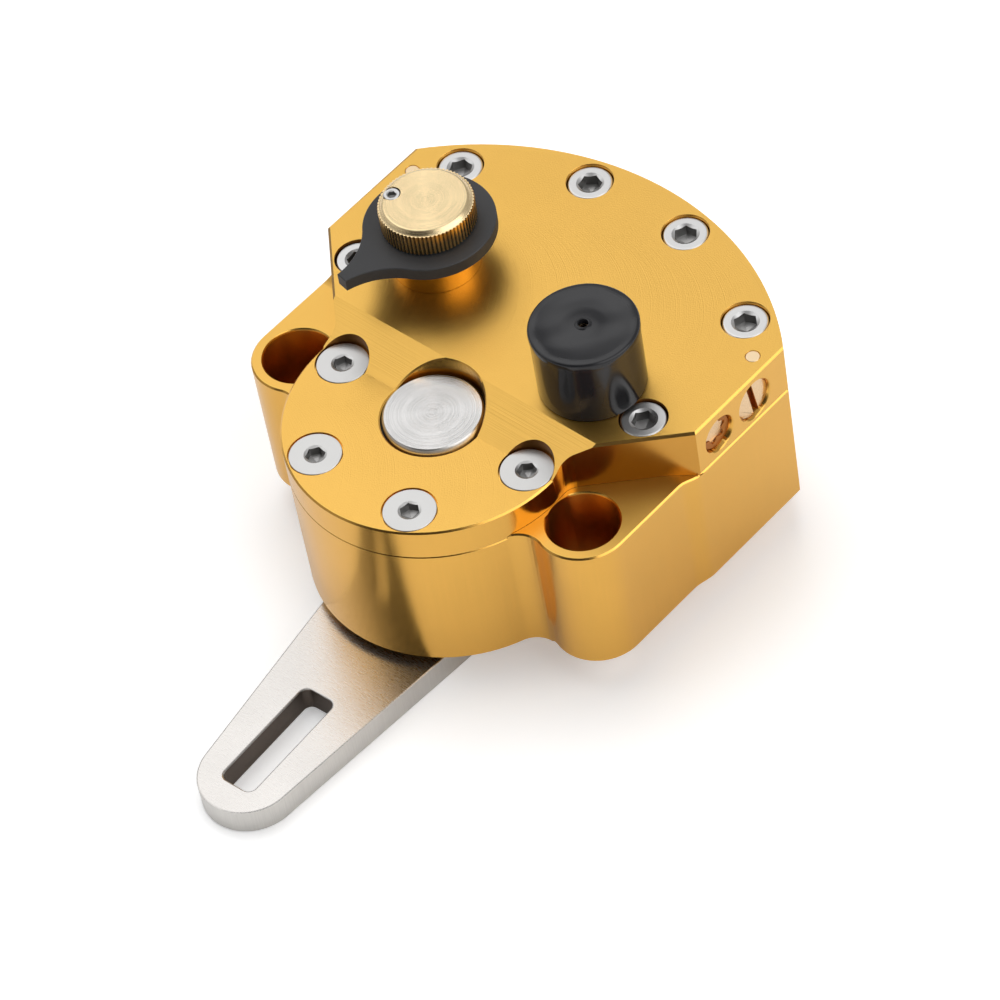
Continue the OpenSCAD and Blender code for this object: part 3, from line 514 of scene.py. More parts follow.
def add_object(name: str, data: bpy.types.ID) -> bpy.types.Object:
    """Adds an object to the scene.

    Args:
        name: its name.
        data: its mesh, lamp or camera.
    Returns:
        The new object.
    """
    made = bpy.data.objects.new(name, data)
    bpy.context.scene.collection.objects.link(made)
    return made


def upright(normals: Array) -> Array:
    """Faces that stand upright or nearly so."""
    return np.abs(normals[:, 2]) < 0.3


def between(values: Array, low: float, high: float) -> Array:
    """Values that lie between two limits."""
    return (values > low) & (values < high)


@dataclass
class DressedNode:
    """A fuller copy of one CAD node: merged, chamfered and given its finishes.

    The mesh stays where the node is, and the node itself is kept for collision, hidden.
    """

    node: str
    body: str
    finish: Finish
    patches: Sequence[Patch] = ()
    chamfers: Sequence[Chamfer] = ()
    rounds: int = 1
    crease: float = 32.0
    merge: float = 0.03

    def clean_mesh(self) -> bpy.types.Mesh:
        """Merges the loose triangles and joins those in one plane.

        Returns:
            The new mesh.
        """
        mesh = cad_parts[self.node].data.copy()
        mesh.name = self.node + "_shape"
        mesh.materials.clear()
        with editing(mesh) as work:
            bmesh.ops.remove_doubles(work, verts=work.verts, dist=self.merge * MM)
            bmesh.ops.dissolve_limit(work, angle_limit=math.radians(ONE_PLANE), verts=work.verts,
                                     edges=work.edges, use_dissolve_boundaries=False)
        return mesh

    def edge_set(self, mesh: bpy.types.Mesh) -> tuple[EdgeSet, Array]:
        """Reads the sharp outer edges.

        Args:
            mesh: the merged mesh.
        Returns:
            The edges' arrays and their numbers in the mesh.
        """
        work = bmesh.new()
        work.from_mesh(mesh)
        rows = [(edge.index, (edge.verts[0].co + edge.verts[1].co) * (0.5 / MM),
                 edge.link_faces[0].normal.copy(), edge.link_faces[1].normal.copy(),
                 edge.calc_face_angle_signed(0.0))
                for edge in work.edges if len(edge.link_faces) == 2]
        work.free()
        keep = np.degrees(np.array([row[4] for row in rows])) > EDGE_ANGLE
        index, middle, first, second = (np.array([row[place] for row in rows])[keep] for place in range(4))
        return EdgeSet(middle, first, second), index

    def weigh(self, mesh: bpy.types.Mesh) -> float:
        """Writes each edge's chamfer as a share of the widest one.

        Args:
            mesh: the merged mesh.
        Returns:
            The widest chamfer in metres.
        """
        edges, index = self.edge_set(mesh)
        widths = np.zeros(len(index))
        for chamfer in self.chamfers:
            widths = np.where(chamfer.where(edges), chamfer.width, widths)
        widest = float(widths.max()) if len(widths) else 0.0
        if widest > 0.0:
            shares = np.zeros(len(mesh.edges), np.float32)
            shares[index] = widths / widest
            layer = mesh.attributes.new("bevel_weight_edge", "FLOAT", "EDGE")
            layer.data.foreach_set("value", shares)
        return widest * MM

    def refill(self, mesh: bpy.types.Mesh) -> None:
        """Fills the level faces again inside their new edges, so that a chamfer leaves no fold in them.

        Args:
            mesh: the chamfered mesh.
        """
        levels: dict[int, list[bmesh.types.BMFace]] = {}
        with editing(mesh) as work:
            for face in work.faces:
                uneven = np.ptp([vert.co.z for vert in face.verts])
                if abs(face.normal.z) > LEVEL and uneven < LEVEL_GAP * MM:
                    levels.setdefault(round(face.calc_center_median().z / MM * LEVEL_STEPS), []).append(face)
            for faces in levels.values():
                inside = set(faces)
                side = 1.0 if sum(face.normal.z * face.calc_area() for face in faces) > 0 else -1.0
                rim = [edge for edge in dict.fromkeys(edge for face in faces for edge in face.edges)
                       if sum(face in inside for face in edge.link_faces) == 1 and len(edge.link_faces) == 2]
                bmesh.ops.delete(work, geom=faces, context="FACES")
                made = bmesh.ops.triangle_fill(work, use_beauty=True, use_dissolve=False, edges=rim,
                                               normal=(0.0, 0.0, side))["geom"]
                for face in made:
                    if isinstance(face, bmesh.types.BMFace) and face.normal.z * side < 0:
                        face.normal_flip()

    def keep_inside(self, mesh: bpy.types.Mesh) -> None:
        """Keeps the corners of the chamfers inside the node's own box.

        Args:
            mesh: the chamfered mesh.
        """
        corners = np.empty(len(mesh.vertices) * 3, np.float32)
        mesh.vertices.foreach_get("co", corners)
        low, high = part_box(self.node)
        kept = np.clip(corners.reshape(-1, 3), low, high).astype(np.float32)
        mesh.vertices.foreach_set("co", kept.ravel())

    def build(self) -> bpy.types.Object:
        """Makes the piece and lets it ride on its body.

        Returns:
            The new object.
        """
        mesh = self.clean_mesh()
        widest = self.weigh(mesh)
        piece = add_object(self.node + "_dressed", mesh)
        if widest > 0.0:
            bevel = piece.modifiers.new("chamfers", "BEVEL")
            bevel.limit_method = "WEIGHT"
            bevel.width = widest
            bevel.segments = self.rounds
            bevel.use_clamp_overlap = False
            bevel.miter_outer = "MITER_SHARP"
            bevel.loop_slide = False
            solid = bpy.data.meshes.new_from_object(
                piece.evaluated_get(bpy.context.evaluated_depsgraph_get()))
            piece.modifiers.clear()
            piece.data = solid
            bpy.data.meshes.remove(mesh)
            self.refill(solid)
            self.keep_inside(solid)
        dress(piece.data, self.finish, self.patches, self.crease)
        if self.rounds > 1:
            piece.modifiers.new("even_normals", "WEIGHTED_NORMAL").keep_sharp = True
        return place_piece(piece, self.body, self.finish.slot, self.node)


def place_piece(piece: bpy.types.Object, body: str, slot: Slot, *nodes: str) -> bpy.types.Object:
    """Lets a piece ride on its body in place of its CAD nodes.

    Args:
        piece: the finished object.
        body: the body it moves with.
        slot: its material slot in the record; not used.
        nodes: the CAD nodes it stands for.
    Returns:
        The same object.
    """
    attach(piece, body)
    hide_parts(*nodes)
    log.info("piece %s rides on %s", piece.name, body)
    return piece


def flat_faces(normals: Array) -> Array:
    """Faces shaded flat beside their rounded neighbours.

    Args:
        normals: the faces' normals.
    Returns:
        The level faces, the lid's ramp and the chamfers along the two straight sides.
    """
    x, y, z = normals.T
    level = np.abs(z) >= LEVEL
    ramp = (np.abs(x) < 0.0005) & (np.abs(z - RAMP_UP) < 0.03)
    side = (np.abs(y) < 0.002) & (np.abs(np.abs(z) - SIDE_UP) < 0.25)
    return level | ramp | side


def dress(mesh: bpy.types.Mesh, finish: Finish, patches: Sequence[Patch], crease: float) -> None:
    """Gives each face its finish and marks the creases.

    Args:
        mesh: the finished mesh.
        finish: the finish of every face that no patch takes.
        patches: further finishes, a later one over an earlier one.
        crease: angle in degrees above which an edge stays sharp.
    """
    count = len(mesh.polygons)
    middles = np.empty(count * 3)
    normals = np.empty(count * 3)
    mesh.polygons.foreach_get("center", middles)
    mesh.polygons.foreach_get("normal", normals)
    middles = middles.reshape(-1, 3) / MM
    normals = normals.reshape(-1, 3)
    numbers = np.zeros(count, np.int32)
    mesh.materials.clear()
    mesh.materials.append(finish.build())
    for number, patch in enumerate(patches, 1):
        mesh.materials.append(patch.finish.build())
        numbers = np.where(patch.where(middles, normals), number, numbers)
    mesh.polygons.foreach_set("material_index", numbers.astype(np.int32))
    mesh.set_sharp_from_angle(angle=math.radians(crease))
    mesh.polygons.foreach_set("use_smooth", ~flat_faces(normals))
    mesh.update()


def shell(node: str, body: str, grids: list[Array], finish: Finish, patches: Sequence[Patch] = (),
          crease: float = 32.0) -> bpy.types.Object:
    """Makes a piece of quads from closed grids of points, in place of one CAD node.

    Args:
        node: the CAD node it stands for.
        body: the body it moves with.
        grids: each rows by columns by 3, in millimetres; columns run round the axis, and the last row
            meets the first.
        finish: its main finish.
        patches: its further finishes.
        crease: angle in degrees above which an edge stays sharp.
    Returns:
        The new object.
    """
    name = node + "_dressed"
    mesh = bpy.data.meshes.new(name + "_shape")
    points, quads, start = [], [], 0
    for grid in grids:
        rows, columns, _ = grid.shape
        row, column = np.meshgrid(np.arange(rows), np.arange(columns), indexing="ij")
        below, right = (row + 1) % rows, (column + 1) % columns
        corners = (row * columns + column, row * columns + right,
                   below * columns + right, below * columns + column)
        quads.append(np.stack(corners, axis=-1).reshape(-1, 4) + start)
        points.append(grid.reshape(-1, 3))
        start += rows * columns
    mesh.from_pydata((np.concatenate(points) * MM).tolist(), [], np.concatenate(quads).tolist())
    with editing(mesh) as work:
        bmesh.ops.recalc_face_normals(work, faces=work.faces)
    dress(mesh, finish, patches, crease)
    return place_piece(add_object(name, mesh), body, finish.slot, node)


@dataclass(frozen=True)
class Socket:
    """Driver recess in a head: its rim's radius at each angle, depth, lead-in cone and point."""

    key: float
    depth: float
    lead: float
    slope: float = 0.7
    point: float = 0.35
    lobes: bool = False

    def rim(self, angle: Array) -> Array:
        """Radius of the recess.

        A hexagon's is half the key over the cosine of the angle from the nearest flat's middle. Round lobes
        have half the key, swollen by a cosine of six times the angle.

        Args:
            angle: angles round the axis, in radians.
        Returns:
            The radius at each angle, in millimetres.
        """
        if self.lobes:
            return self.key / 2 * (1.0 + 0.16 * np.cos(6 * angle))
        return self.key / 2 / np.cos((angle + math.pi / 6) % (math.pi / 3) - math.pi / 6)


@dataclass(frozen=True)
class Head:
    """A turned head with a recess, and its outer profile from the foot up as radius and height."""

    profile: tuple[tuple[float, float], ...]
    socket: Socket
    columns: int = 72
    hole: float = 0.02

    def grid(self, turn: float) -> Array:
        """Rows of the head from the foot's middle over the rim to the middle of the recess.

        Args:
            turn: angle of the recess, in degrees.
        Returns:
            Rows by columns by 3, about the Z axis.
        """
        angle = np.linspace(0, 2 * math.pi, self.columns, endpoint=False)
        rim = self.socket.rim(angle - math.radians(turn))
        foot, top = self.profile[0][1], self.profile[-1][1]
        bottom = top - self.socket.depth
        rows = [(self.hole, foot), *self.profile, (self.socket.lead, top),
                (rim, top - (self.socket.lead - rim) * self.socket.slope), (rim, bottom),
                (self.hole, bottom - self.socket.point)]
        return np.stack([np.stack([r * np.cos(angle), r * np.sin(angle), np.broadcast_to(z, angle.shape)],
                                  axis=-1) for r, z in rows])


@dataclass
class Housing:
    """Body, stepped lid, blanking pins and the two passage plugs."""

    half_width: float = 44.6
    joint: float = 28.2
    ear_top: float = 28.95
    top: float = 39.3
    lobe_top: float = 34.8
    lobe: float = 28.0
    ear: float = 34.8
    ear_bore: float = 6.65
    shaft_bore: float = 9.8
    fan_radius: float = 62.5
    fan_centre: float = 2.0
    passage: float = 33.5
    plug_y: float = 27.0
    plug_sunk: float = 0.9
    near_screw: tuple[float, float] = (34.6, 18.6)

    def outer(self, edges: EdgeSet) -> Array:
        """Finds the outside outline of the fan and its straight sides.

        Args:
            edges: the edges of one housing half.
        Returns:
            Which edges lie on it.
        """
        side = np.abs(np.abs(edges.middle[:, 0]) - self.half_width) < 0.4
        fan = edges.round_axis(0.0, self.fan_centre, self.fan_radius)
        corner = (np.abs(edges.middle[:, 0]) > self.half_width - 1.6) & (edges.middle[:, 1] > 40)
        return (side | fan | corner) & (edges.middle[:, 1] > 20.5)

    def ear_away(self, points: Array) -> Array:
        """Distance of each point from the nearer ear's axis."""
        return np.hypot(np.abs(points[:, 0]) - self.ear, points[:, 1])

    def screw_away(self, points: Array) -> Array:
        """Distance of each point from the axis of the nearer of the two near screws."""
        x, y = self.near_screw
        return np.hypot(np.abs(points[:, 0]) - x, points[:, 1] - y)

    def ear_rim(self, edges: EdgeSet) -> Array:
        """Finds the outside of the raised ear tops, where the wall looks away from the housing's middle.

        Args:
            edges: the body's edges.
        Returns:
            Which edges lie on it.
        """
        side = np.sign(edges.middle[:, 0])
        wall = edges.wall()
        out = wall[:, 0] * side * (np.abs(edges.middle[:, 0]) - 20) + wall[:, 1] * (edges.middle[:, 1] - 4)
        high = between(edges.middle[:, 2], self.joint + 0.01, self.ear_top + 0.05)
        return high & (out > 0) & upright(wall) & edges.upward(0.6) & (self.ear_away(edges.middle) > 7.6)

    def foot(self, edges: EdgeSet) -> Array:
        """Edges round the underside of the flats and ears."""
        far = (np.abs(edges.middle[:, 0]) > 30) | (edges.far_from(0, self.fan_centre) > 61)
        return edges.level(0.0) & far & (self.ear_away(edges.middle) > 6)

    def neck_walls(self, middle: Array, normal: Array) -> Array:
        """Upright faces of the hollow between the lobe and the fan, which carry painted shade."""
        x, y, z = np.abs(middle[:, 0]), middle[:, 1], middle[:, 2]
        return upright(normal) & between(x, 20.0, 44.2) & between(y, 6.0, 21.2) & (z > 28.0)

    def recesses(self, middle: Array, normal: Array) -> Array:
        """Upright faces of the cuts round the near screws, which carry painted shade."""
        lobe = np.hypot(np.abs(middle[:, 0]) - LOBE_REACH, middle[:, 1]) < 5.6
        return (lobe | (self.screw_away(middle) < 4.9)) & upright(normal) & (middle[:, 2] > 34.0)

    def body(self) -> None:
        """The body, with a chamfer round its ears and a finer one at the joint."""
        DressedNode("body", "housing", Finishes.body_wall, [
            Patch(Finishes.body_floor, lambda middle, normal: (normal[:, 2] > 0.9) & (middle[:, 2] > 28)),
            Patch(Finishes.neck_body_shade, self.neck_walls),
            Patch(Finishes.bore_shade, lambda middle, normal: upright(normal) & (self.ear_away(middle) < 7.0)),
        ], [
            Chamfer(0.18, lambda edges: edges.level(self.joint) & edges.round_axis(0, 0, self.lobe, 0.3)),
            Chamfer(0.36, lambda edges: edges.level(self.joint) & edges.upward() & self.outer(edges)),
            Chamfer(0.45, self.foot),
            Chamfer(0.3, self.ear_rim),
            Chamfer(0.35, lambda edges: edges.level(self.ear_top) & (edges.far_from(0, 0) > 28.8)
                    & (np.abs(self.ear_away(edges.middle) - self.ear_bore) < 0.3)),
        ], crease=20.0).build()

    def neck_rim(self, edges: EdgeSet) -> Array:
        """Finds the upper rim of the hollow, without the cut round the near screw.

        Args:
            edges: the lid's edges.
        Returns:
            Which edges lie on it.
        """
        x, y = np.abs(edges.middle[:, 0]), edges.middle[:, 1]
        return (edges.level(self.top) & between(x, 32.2, 44.4) & between(y, 9.0, 20.9)
                & (self.screw_away(edges.middle) >= 5.0))

    def lid(self) -> None:
        """The lid, with its own chamfer on each part of the outline."""
        DressedNode("lid", "housing", Finishes.lid_wall, [
            Patch(Finishes.neck_wall_shade, self.neck_walls),
            Patch(Finishes.recess_shade, self.recesses),
            Patch(Finishes.neck_edge_shade, lambda middle, normal: between(normal[:, 2], 0.3, 0.95)
                  & (normal[:, 1] < -0.3) & (np.abs(normal[:, 0]) > 0.3) & (middle[:, 2] > 38.0)),
            Patch(Finishes.milled_top, lambda middle, normal: (normal[:, 2] > 0.97) & (middle[:, 2] > 34.7)),
            Patch(Finishes.ramp, lambda middle, normal: between(normal[:, 2], 0.8, 0.95)
                  & (normal[:, 1] < -0.4) & (np.abs(normal[:, 0]) < 0.1)),
        ], [
            Chamfer(0.06, lambda edges: edges.level(self.top) & edges.upward() & upright(edges.wall())),
            Chamfer(0.36, lambda edges: edges.level(self.top)
                    & (np.abs(np.abs(edges.middle[:, 0]) - self.half_width) < 0.3)),
            Chamfer(0.46, self.neck_rim),
            Chamfer(0.32, lambda edges: edges.level(self.lobe_top) & edges.round_axis(0, 0, self.lobe)),
            Chamfer(0.25, lambda edges: edges.round_axis(0, 0, self.shaft_bore, 0.1)
                    & (edges.middle[:, 2] > 34)),
            Chamfer(0.18, lambda edges: edges.level(self.joint) & edges.round_axis(0, 0, self.lobe, 0.3)),
            Chamfer(0.3, lambda edges: edges.level(self.joint) & self.outer(edges)),
            Chamfer(0.22, lambda edges: (np.abs(edges.middle[:, 0] - self.half_width) < 0.02)
                    & between(edges.middle[:, 2], 29, 38) & between(edges.middle[:, 1], 22, 45)),
        ], crease=20.0).build()

    def lobed_plug(self) -> None:
        """Passage plug with a six-lobed recess, turned to look along the side axis."""
        plug = Head(((3.55, -6.0), (3.55, -0.15), (3.4, 0.0)), Socket(4.7, 0.5, 3.3, 0.3, 0.02, True))
        local = plug.grid(12.0)
        points = np.stack([local[..., 2] + self.half_width - self.plug_sunk,
                           local[..., 0] + self.plug_y, local[..., 1] + self.passage], axis=-1)
        shell("hex_plug", "housing", [points], Finishes.brass_plug, [
            Patch(Finishes.plug_shade, lambda middle, normal: (normal[:, 0] < 0.9)
                  | (middle[:, 0] > self.half_width - 1.25))])

    def build(self) -> None:
        """Makes the housing's pieces."""
        self.body()
        self.lid()
        DressedNode("blank_pins", "housing", Finishes.pin_end,
                    chamfers=[Chamfer(0.1, lambda edges: edges.upward())]).build()
        self.lobed_plug()
        DressedNode("slot_plug", "housing", Finishes.brass_plug, [
            Patch(Finishes.plug_shade, lambda middle, normal: (normal[:, 0] < 0.9) | (middle[:, 0] < 43.5)),
        ], [Chamfer(0.15, lambda edges: edges.middle[:, 0] > 43.5)]).build()


@dataclass
class Rotor:
    """Shaft and the slotted link arm under the housing."""

    swing: float = 3.2
    slot_side: float = 3.75
    slot_ends: tuple[float, float] = (-65.8, -41.2)

    def in_slot(self, middles: Array, normals: Array) -> Array:
        """Finds the arm's slot, by the places across and along the turned arm.

        Args:
            middles: middles of the arm's faces.
            normals: their normals.
        Returns:
            Which faces are upright and inside the slot.
        """
        turn = math.radians(self.swing)
        across = middles[:, 0] * math.cos(turn) + middles[:, 1] * math.sin(turn)
        along = middles[:, 1] * math.cos(turn) - middles[:, 0] * math.sin(turn)
        inside = (np.abs(across) < self.slot_side) & between(along, *self.slot_ends)
        return inside & upright(normals)

    def arm_outline(self, edges: EdgeSet) -> Array:
        """Edges of the arm's two faces, away from the shaft."""
        face = np.maximum(np.abs(edges.first[:, 2]), np.abs(edges.second[:, 2])) > 0.8
        return face & (edges.far_from(0, 0) > 15.0)

    def build(self) -> None:
        """Makes the rotor's visible pieces."""
        DressedNode("shaft", "rotor", Finishes.arm_edge, [
            Patch(Finishes.shaft_end, lambda middle, normal: normal[:, 2] > 0.95)]).build()
        DressedNode("link_arm", "rotor", Finishes.arm_edge, [
            Patch(Finishes.arm_face, lambda middle, normal: np.abs(normal[:, 2]) > 0.9),
            Patch(Finishes.slot_shade, self.in_slot),
        ], [Chamfer(0.28, self.arm_outline)], rounds=2).build()
        DressedNode("arm_screw", "rotor", Finishes.screw).build()


@dataclass
class Fasteners:
    """Cap screws round the fan and countersunk screws on the lobe."""

    rim_places: tuple[Point, ...] = (
        (34.6, 18.6, 20), (34.6, 47.2, 47), (11.6, 57.9, 38),
        (-11.6, 57.9, 10), (-34.6, 47.2, 25), (-34.6, 18.6, 5))
    lobe_turn: float = 30.8
    shank: float = 2.5
    tip: float = 14.2

    def heads(self, node: str, head: Head, places: tuple[Point, ...], finish: Finish, dark: float) -> None:
        """One set of equal screws.

        Args:
            node: the CAD node they stand for.
            head: shape of one screw.
            places: x, y in millimetres and recess angle in degrees of each screw.
            finish: finish of the heads.
            dark: height in millimetres under which the recess carries painted shade.
        """
        grids = [head.grid(turn) + np.array([x, y, 0.0]) for x, y, turn in places]
        shell(node, "housing", grids, finish, [
            Patch(Finishes.socket, lambda middle, normal: middle[:, 2] < dark)], crease=15.0)

    def build(self) -> None:
        """Makes both sets of screws."""
        cap = Head(((self.shank, self.tip), (self.shank, 33.9), (4.25, 33.9), (4.25, 38.55), (4.18, 38.75),
                    (4.0, 38.88), (3.8, 38.9)), Socket(4.0, 2.4, 2.62, 0.6))
        self.heads("rim_screws", cap, self.rim_places, Finishes.screw, 38.4)
        flat = Head(((self.shank, self.tip), (self.shank, 31.77), (4.93, 34.2), (4.93, 34.6), (4.83, 34.7)),
                    Socket(3.3, 1.9, 2.15, 0.45))
        swing = math.radians(self.lobe_turn)
        x, y = LOBE_REACH * math.sin(swing), -LOBE_REACH * math.cos(swing)
        places = ((LOBE_REACH, 0, 12), (-LOBE_REACH, 0, 33), (x, y, 50), (-x, y, 22))
        self.heads("lobe_screws", flat, places, Finishes.flat_screw, 34.3)


@dataclass
class Dial:
    """Stem, pointer, knurled knob and detent screw of the adjuster."""

    x: float = DIAL_AXIS[0]
    y: float = DIAL_AXIS[1]
    top: float = 55.3
    detent_reach: float = 6.6
    detent_turn: float = -159.0

    def detent_screw(self) -> None:
        """Small set screw in the knob's top, with its hexagon recess."""
        high = self.top - 0.15
        head = Head(((1.65, high - 2.2), (1.65, high - 0.22), (1.42, high)), Socket(1.5, 1.0, 1.02, 0.5))
        turn = math.radians(self.detent_turn)
        place = np.array([self.x + self.detent_reach * math.cos(turn),
                          self.y + self.detent_reach * math.sin(turn), 0.0])
        shell("detent_screw", "dial", [head.grid(14.0) + place], Finishes.screw, [
            Patch(Finishes.socket, lambda middle, normal: middle[:, 2] < high - 0.25)], crease=15.0)

    def build(self) -> None:
        """Makes the adjuster's visible pieces."""
        DressedNode("adjuster_stem", "housing", Finishes.stem, chamfers=[
            Chamfer(0.3, lambda edges: edges.upward() & edges.round_axis(self.x, self.y, 8.45)),
        ]).build()
        DressedNode("pointer", "dial", Finishes.pointer_face, chamfers=[
            Chamfer(0.15, lambda edges: (edges.level(49.7) | edges.level(47.0))
                    & (edges.far_from(self.x, self.y) > 9.0)),
        ]).build()
        DressedNode("knob", "dial", Finishes.brass_knurl, [
            Patch(Finishes.brass_end, lambda middle, normal: normal[:, 2] > 0.3),
        ], [
            Chamfer(0.18, lambda edges: edges.level(self.top) & (edges.far_from(self.x, self.y) > 7.0)),
        ], rounds=2, crease=20.0).build()
        self.detent_screw()


@dataclass
class Compensator:
    """Dipped vinyl cap over the compensator sleeve."""

    x: float = 21.4
    y: float = 20.1
    radius: float = 10.1
    low: float = 39.35
    high: float = 54.6
    band: float = 2.0
    step: float = 0.15
    vent: float = 0.9
    wall: float = 1.2
    crown: float = 0.6

    def profile(self) -> Array:
        """Half section of the cap: a lipped vent, a dished disc, a quarter round and a stepped wall.

        The disc's height is a bell round the vent's lip with a squared rise towards the rim.

        Returns:
            Radius and height of each point, from the vent's foot over the top to the inside.
        """
        wall, inner = self.radius - self.step, self.radius - self.step - self.wall
        high, band, vent = self.high, self.high - self.band, self.vent
        top = [[vent, high - self.wall], [vent, high - 0.25], [vent + 0.08, high - 0.08],
               [vent + 0.25, high], [vent + 0.45, high - 0.06], [vent + 0.7, high - 0.25]]
        reach = np.linspace(2.4, self.radius - self.crown - 0.4, 16)
        swell = 0.16 * np.exp(-(((reach - 1.8) / 1.7) ** 2))
        rise = 0.22 * np.clip((reach - 5.6) / 3.0, 0, 1) ** 2
        disc = np.stack([reach, high - 0.42 + swell + rise], 1)
        bend = np.radians(np.linspace(90, 0, 9))
        edge = np.stack([self.radius - self.crown + self.crown * np.cos(bend),
                         high - 0.22 - self.crown + self.crown * np.sin(bend)], 1)
        foot = [[self.radius, band + 0.15], [self.radius - 0.03, band], [wall + 0.02, band - 0.1],
                [wall, band - 0.25], [wall, self.low + 0.5], [wall, self.low + 0.2],
                [wall - 0.1, self.low + 0.05], [wall - 0.3, self.low], [inner, self.low],
                [inner, high - self.wall]]
        return np.concatenate([top, disc, edge, foot])

    def build(self) -> None:
        """Turns the section about the cap's axis.

        The top's height gains a product of two waves and a third wave, which fade out at the vent and below.
        """
        section = self.profile()
        angle = np.linspace(0, 2 * math.pi, 96, endpoint=False)
        radius, height = section[:, 0][:, None], section[:, 1][:, None]
        x, y = radius * np.cos(angle), radius * np.sin(angle)
        wave = (0.05 * np.sin(x * 0.55 + 0.8) * np.cos(y * 0.45 + 0.3)
                + 0.03 * np.sin(x * 0.9 - y * 0.7) - 0.08)
        share = np.clip((height - self.high + 1.2) / 0.9, 0, 1) * np.clip((radius - 2.4) / 1.5, 0, 1)
        points = np.stack([x + self.x, y + self.y, height + wave * share], axis=-1)
        shell("comp_cover", "housing", [points], Finishes.vinyl)


@dataclass
class Inside:
    """Parts that the housing hides: all but the two springs keep their CAD shapes."""

    finishes: dict[Finish, tuple[str, ...]] = field(default_factory=lambda: {
        Finishes.rubber: ("lid_seal", "lower_seal", "upper_seal", "dust_ring", "spool_ring", "piston_ring"),
        Finishes.bronze: ("lower_bush", "upper_bush"),
        Finishes.light_alloy: ("vane", "comp_piston"),
        Finishes.dark_steel: ("vane_key",),
        Finishes.plastic: ("vane_strip",),
        Finishes.bright_steel: ("stop_pin", "valve_spool", "detent_ball", "detent_spring", "relief_ball"),
        Finishes.brass_plug: ("comp_sleeve", "comp_end"),
    })

    def spring(self, node: str) -> None:
        """A coil spring, copied from its CAD node with a mesh of its own.

        Args:
            node: the CAD node it stands for.
        """
        piece = DressedNode(node, "housing", Finishes.bright_steel, merge=0.005).build()
        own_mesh(piece)

    def build(self) -> None:
        """Gives each hidden node its material and makes the two springs."""
        for finish, names in self.finishes.items():
            for name in names:
                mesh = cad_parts[name].data
                if mesh.materials:
                    mesh.materials[0] = finish.build()
                else:
                    mesh.materials.append(finish.build())
                log.info("node %s carries %s", name, finish.name)
        self.spring("comp_spring")
        self.spring("relief_spring")


@dataclass(frozen=True)
class Region:
    """A round region of the surroundings.

    It has the direction of its middle, the angles in degrees where it fades out and where it is full, and the
    brightness outside and inside.
    """

    towards: Point
    edge: tuple[float, float]
    levels: tuple[float, float]


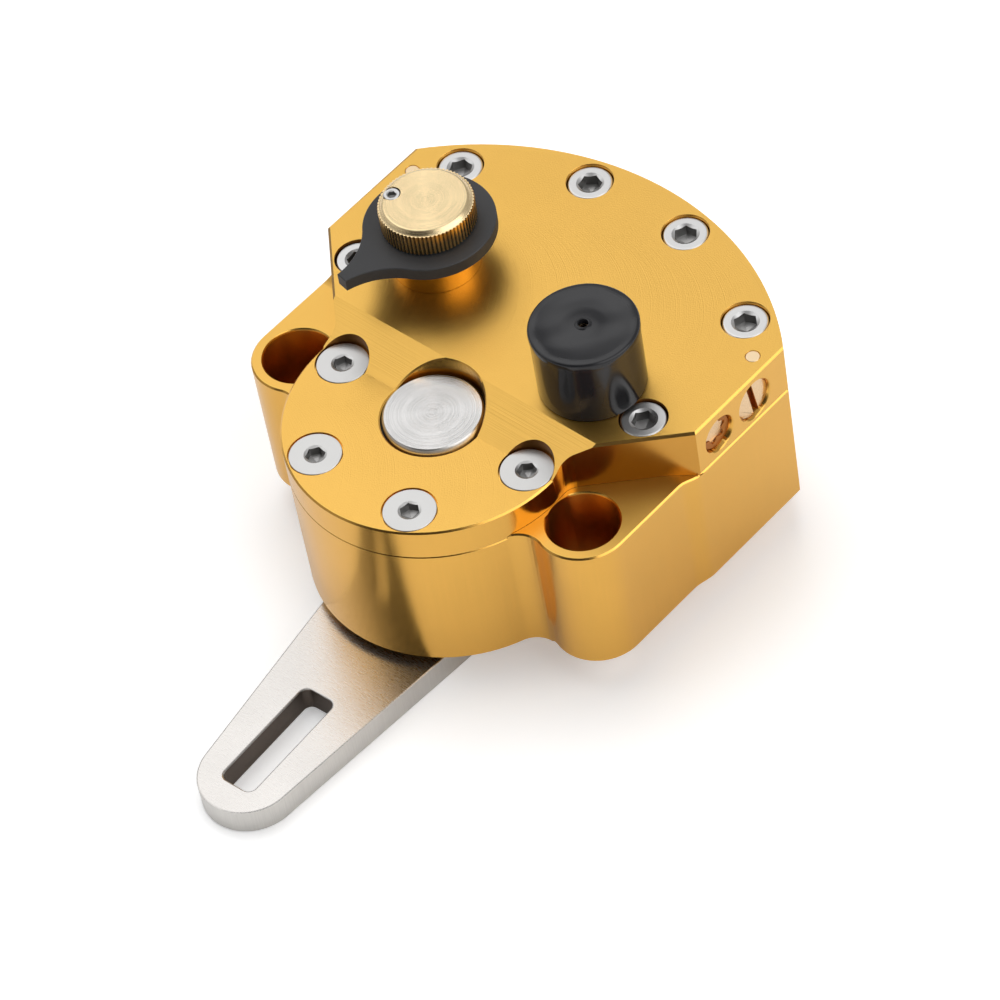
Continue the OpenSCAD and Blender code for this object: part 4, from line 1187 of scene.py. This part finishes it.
@dataclass
class Studio:
    """Camera, floor, soft box and surroundings, in metres."""

    lens: float = 170.40
    floor_z: float = -0.0079
    floor_side: float = 3.0
    floor_seen: float = 0.3
    floor_gloss: float = 0.05
    key_place: Point = (-0.28, 0.22, 1.0)
    key_side: float = 0.7
    key_power: float = 3.4
    middle: Point = (0.0, 0.01, 0.02)
    overhead: Region = Region((-0.55, 0.0, 0.835), (38.0, 22.0), (0.42, 1.25))
    high_box: Region = Region((-0.3, 0.3, 0.9), (24.0, 12.0), (0.0, 0.45))
    side_box: Region = Region((0.78, 0.09, 0.62), (34.0, 27.0), (0.0, 1.3))
    low_strip: Region = Region((0.8, 0.45, 0.4), (22.0, 12.0), (0.0, 0.5))
    opening: Region = Region(EYE, (16.0, 10.0), (1.0, 0.1))
    dark_front: Region = Region((0.2, -0.72, 0.66), (36.0, 24.0), (1.0, 0.15))

    def camera(self) -> None:
        """Sets the camera at the photograph's place, from the fitted axes."""
        data = bpy.data.cameras.new("camera")
        data.lens = self.lens
        data.sensor_width = 36.0
        data.clip_start = 0.05
        axes = Matrix((
            (0.7456611438255171, -0.4369953057116221, 0.5030154683256046),
            (0.6545349090967204, 0.621757384320477, -0.4301183648912314),
            (-0.12479387550104093, 0.6499637757359006, 0.7496490050740187)))
        view = add_object("camera", data)
        view.matrix_world = Matrix.Translation(Vector(EYE)) @ axes.to_4x4()
        bpy.context.scene.camera = view

    def floor(self) -> None:
        """A wide white floor that keeps the shadow and looks white to the camera and in gloss."""
        side = self.floor_side
        mesh = bpy.data.meshes.new("floor_shape")
        mesh.from_pydata([(-side, -side, self.floor_z), (side, -side, self.floor_z),
                          (side, side, self.floor_z), (-side, side, self.floor_z)], [], [(0, 1, 2, 3)])
        material = bpy.data.materials.new("floor_white")
        material.use_nodes = True
        graph = NodeGraph(material.node_tree)
        material.node_tree.nodes.clear()
        diffuse = graph.add("ShaderNodeBsdfDiffuse")
        diffuse.inputs["Color"].default_value = (0.9, 0.9, 0.9, 1)
        glow = graph.add("ShaderNodeEmission")
        path = graph.add("ShaderNodeLightPath")
        seen = graph.maths("MULTIPLY", path.outputs["Is Camera Ray"], self.floor_seen)
        gloss = graph.maths("MULTIPLY", path.outputs["Is Glossy Ray"], self.floor_gloss)
        graph.join(graph.maths("ADD", seen, gloss), glow.inputs["Strength"])
        both = graph.add("ShaderNodeAddShader", diffuse.outputs[0], glow.outputs[0])
        graph.add("ShaderNodeOutputMaterial", both.outputs[0])
        mesh.materials.append(material)
        floor = add_object("floor", mesh)

    def key_box(self) -> None:
        """Adds one square soft box that looks at the damper."""
        data = bpy.data.lights.new("key_box", "AREA")
        data.size = self.key_side
        data.energy = self.key_power
        lamp = add_object("key_box", data)
        place = Vector(self.key_place)
        look = (Vector(self.middle) - place).to_track_quat("-Z", "Y")
        lamp.matrix_world = Matrix.Translation(place) @ look.to_matrix().to_4x4()
        lamp.visible_glossy = False

    def glow(self, graph: NodeGraph, place: object, region: Region) -> bpy.types.NodeSocket:
        """Brightness that one region gives.

        Args:
            graph: the world's nodes.
            place: direction of the ray.
            region: the region.
        Returns:
            The brightness.
        """
        towards = Vector(region.towards).normalized()
        away = graph.vector("DOT_PRODUCT", place, towards, result="Value")
        fade_out, full = (math.cos(math.radians(angle)) for angle in region.edge)
        return graph.carry(away, (fade_out, full), region.levels, soft=True)

    def world(self) -> None:
        """Pale room with soft boxes and a dark opening at the camera, white to the camera itself."""
        world = bpy.data.worlds.new("studio")
        bpy.context.scene.world = world
        world.use_nodes = True
        graph = NodeGraph(world.node_tree)
        back = world.node_tree.nodes["Background"]
        place = graph.add("ShaderNodeTexCoord").outputs["Generated"]
        overhead, high, side, strip, opening, front = (
            self.glow(graph, place, region) for region in (self.overhead, self.high_box, self.side_box,
                                                           self.low_strip, self.opening, self.dark_front))
        boxes = graph.maths("ADD", graph.maths("ADD", overhead, high), graph.maths("ADD", side, strip))
        shown = graph.maths("MULTIPLY", boxes, graph.maths("MINIMUM", opening, front))
        path = graph.add("ShaderNodeLightPath")
        level = graph.maths("MAXIMUM", shown, path.outputs["Is Camera Ray"])
        back.inputs["Color"].default_value = (1, 1, 1, 1)
        graph.join(level, back.inputs["Strength"])

    def build(self) -> None:
        """Makes the whole studio."""
        self.camera()
        self.floor()
        self.world()
        self.key_box()
        bpy.context.scene.view_settings.view_transform = "Standard"


def main() -> None:
    """Builds the damper's classes in order."""
    logging.basicConfig(level=logging.INFO, format="%(message)s")
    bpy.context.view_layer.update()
    SurfaceEffects().build()
    for part in (Housing(), Rotor(), Fasteners(), Dial(), Compensator(), Inside()):
        part.build()
        log.info("%s is made", type(part).__name__)
    Studio().build()


if __name__ == "__main__":
    main()
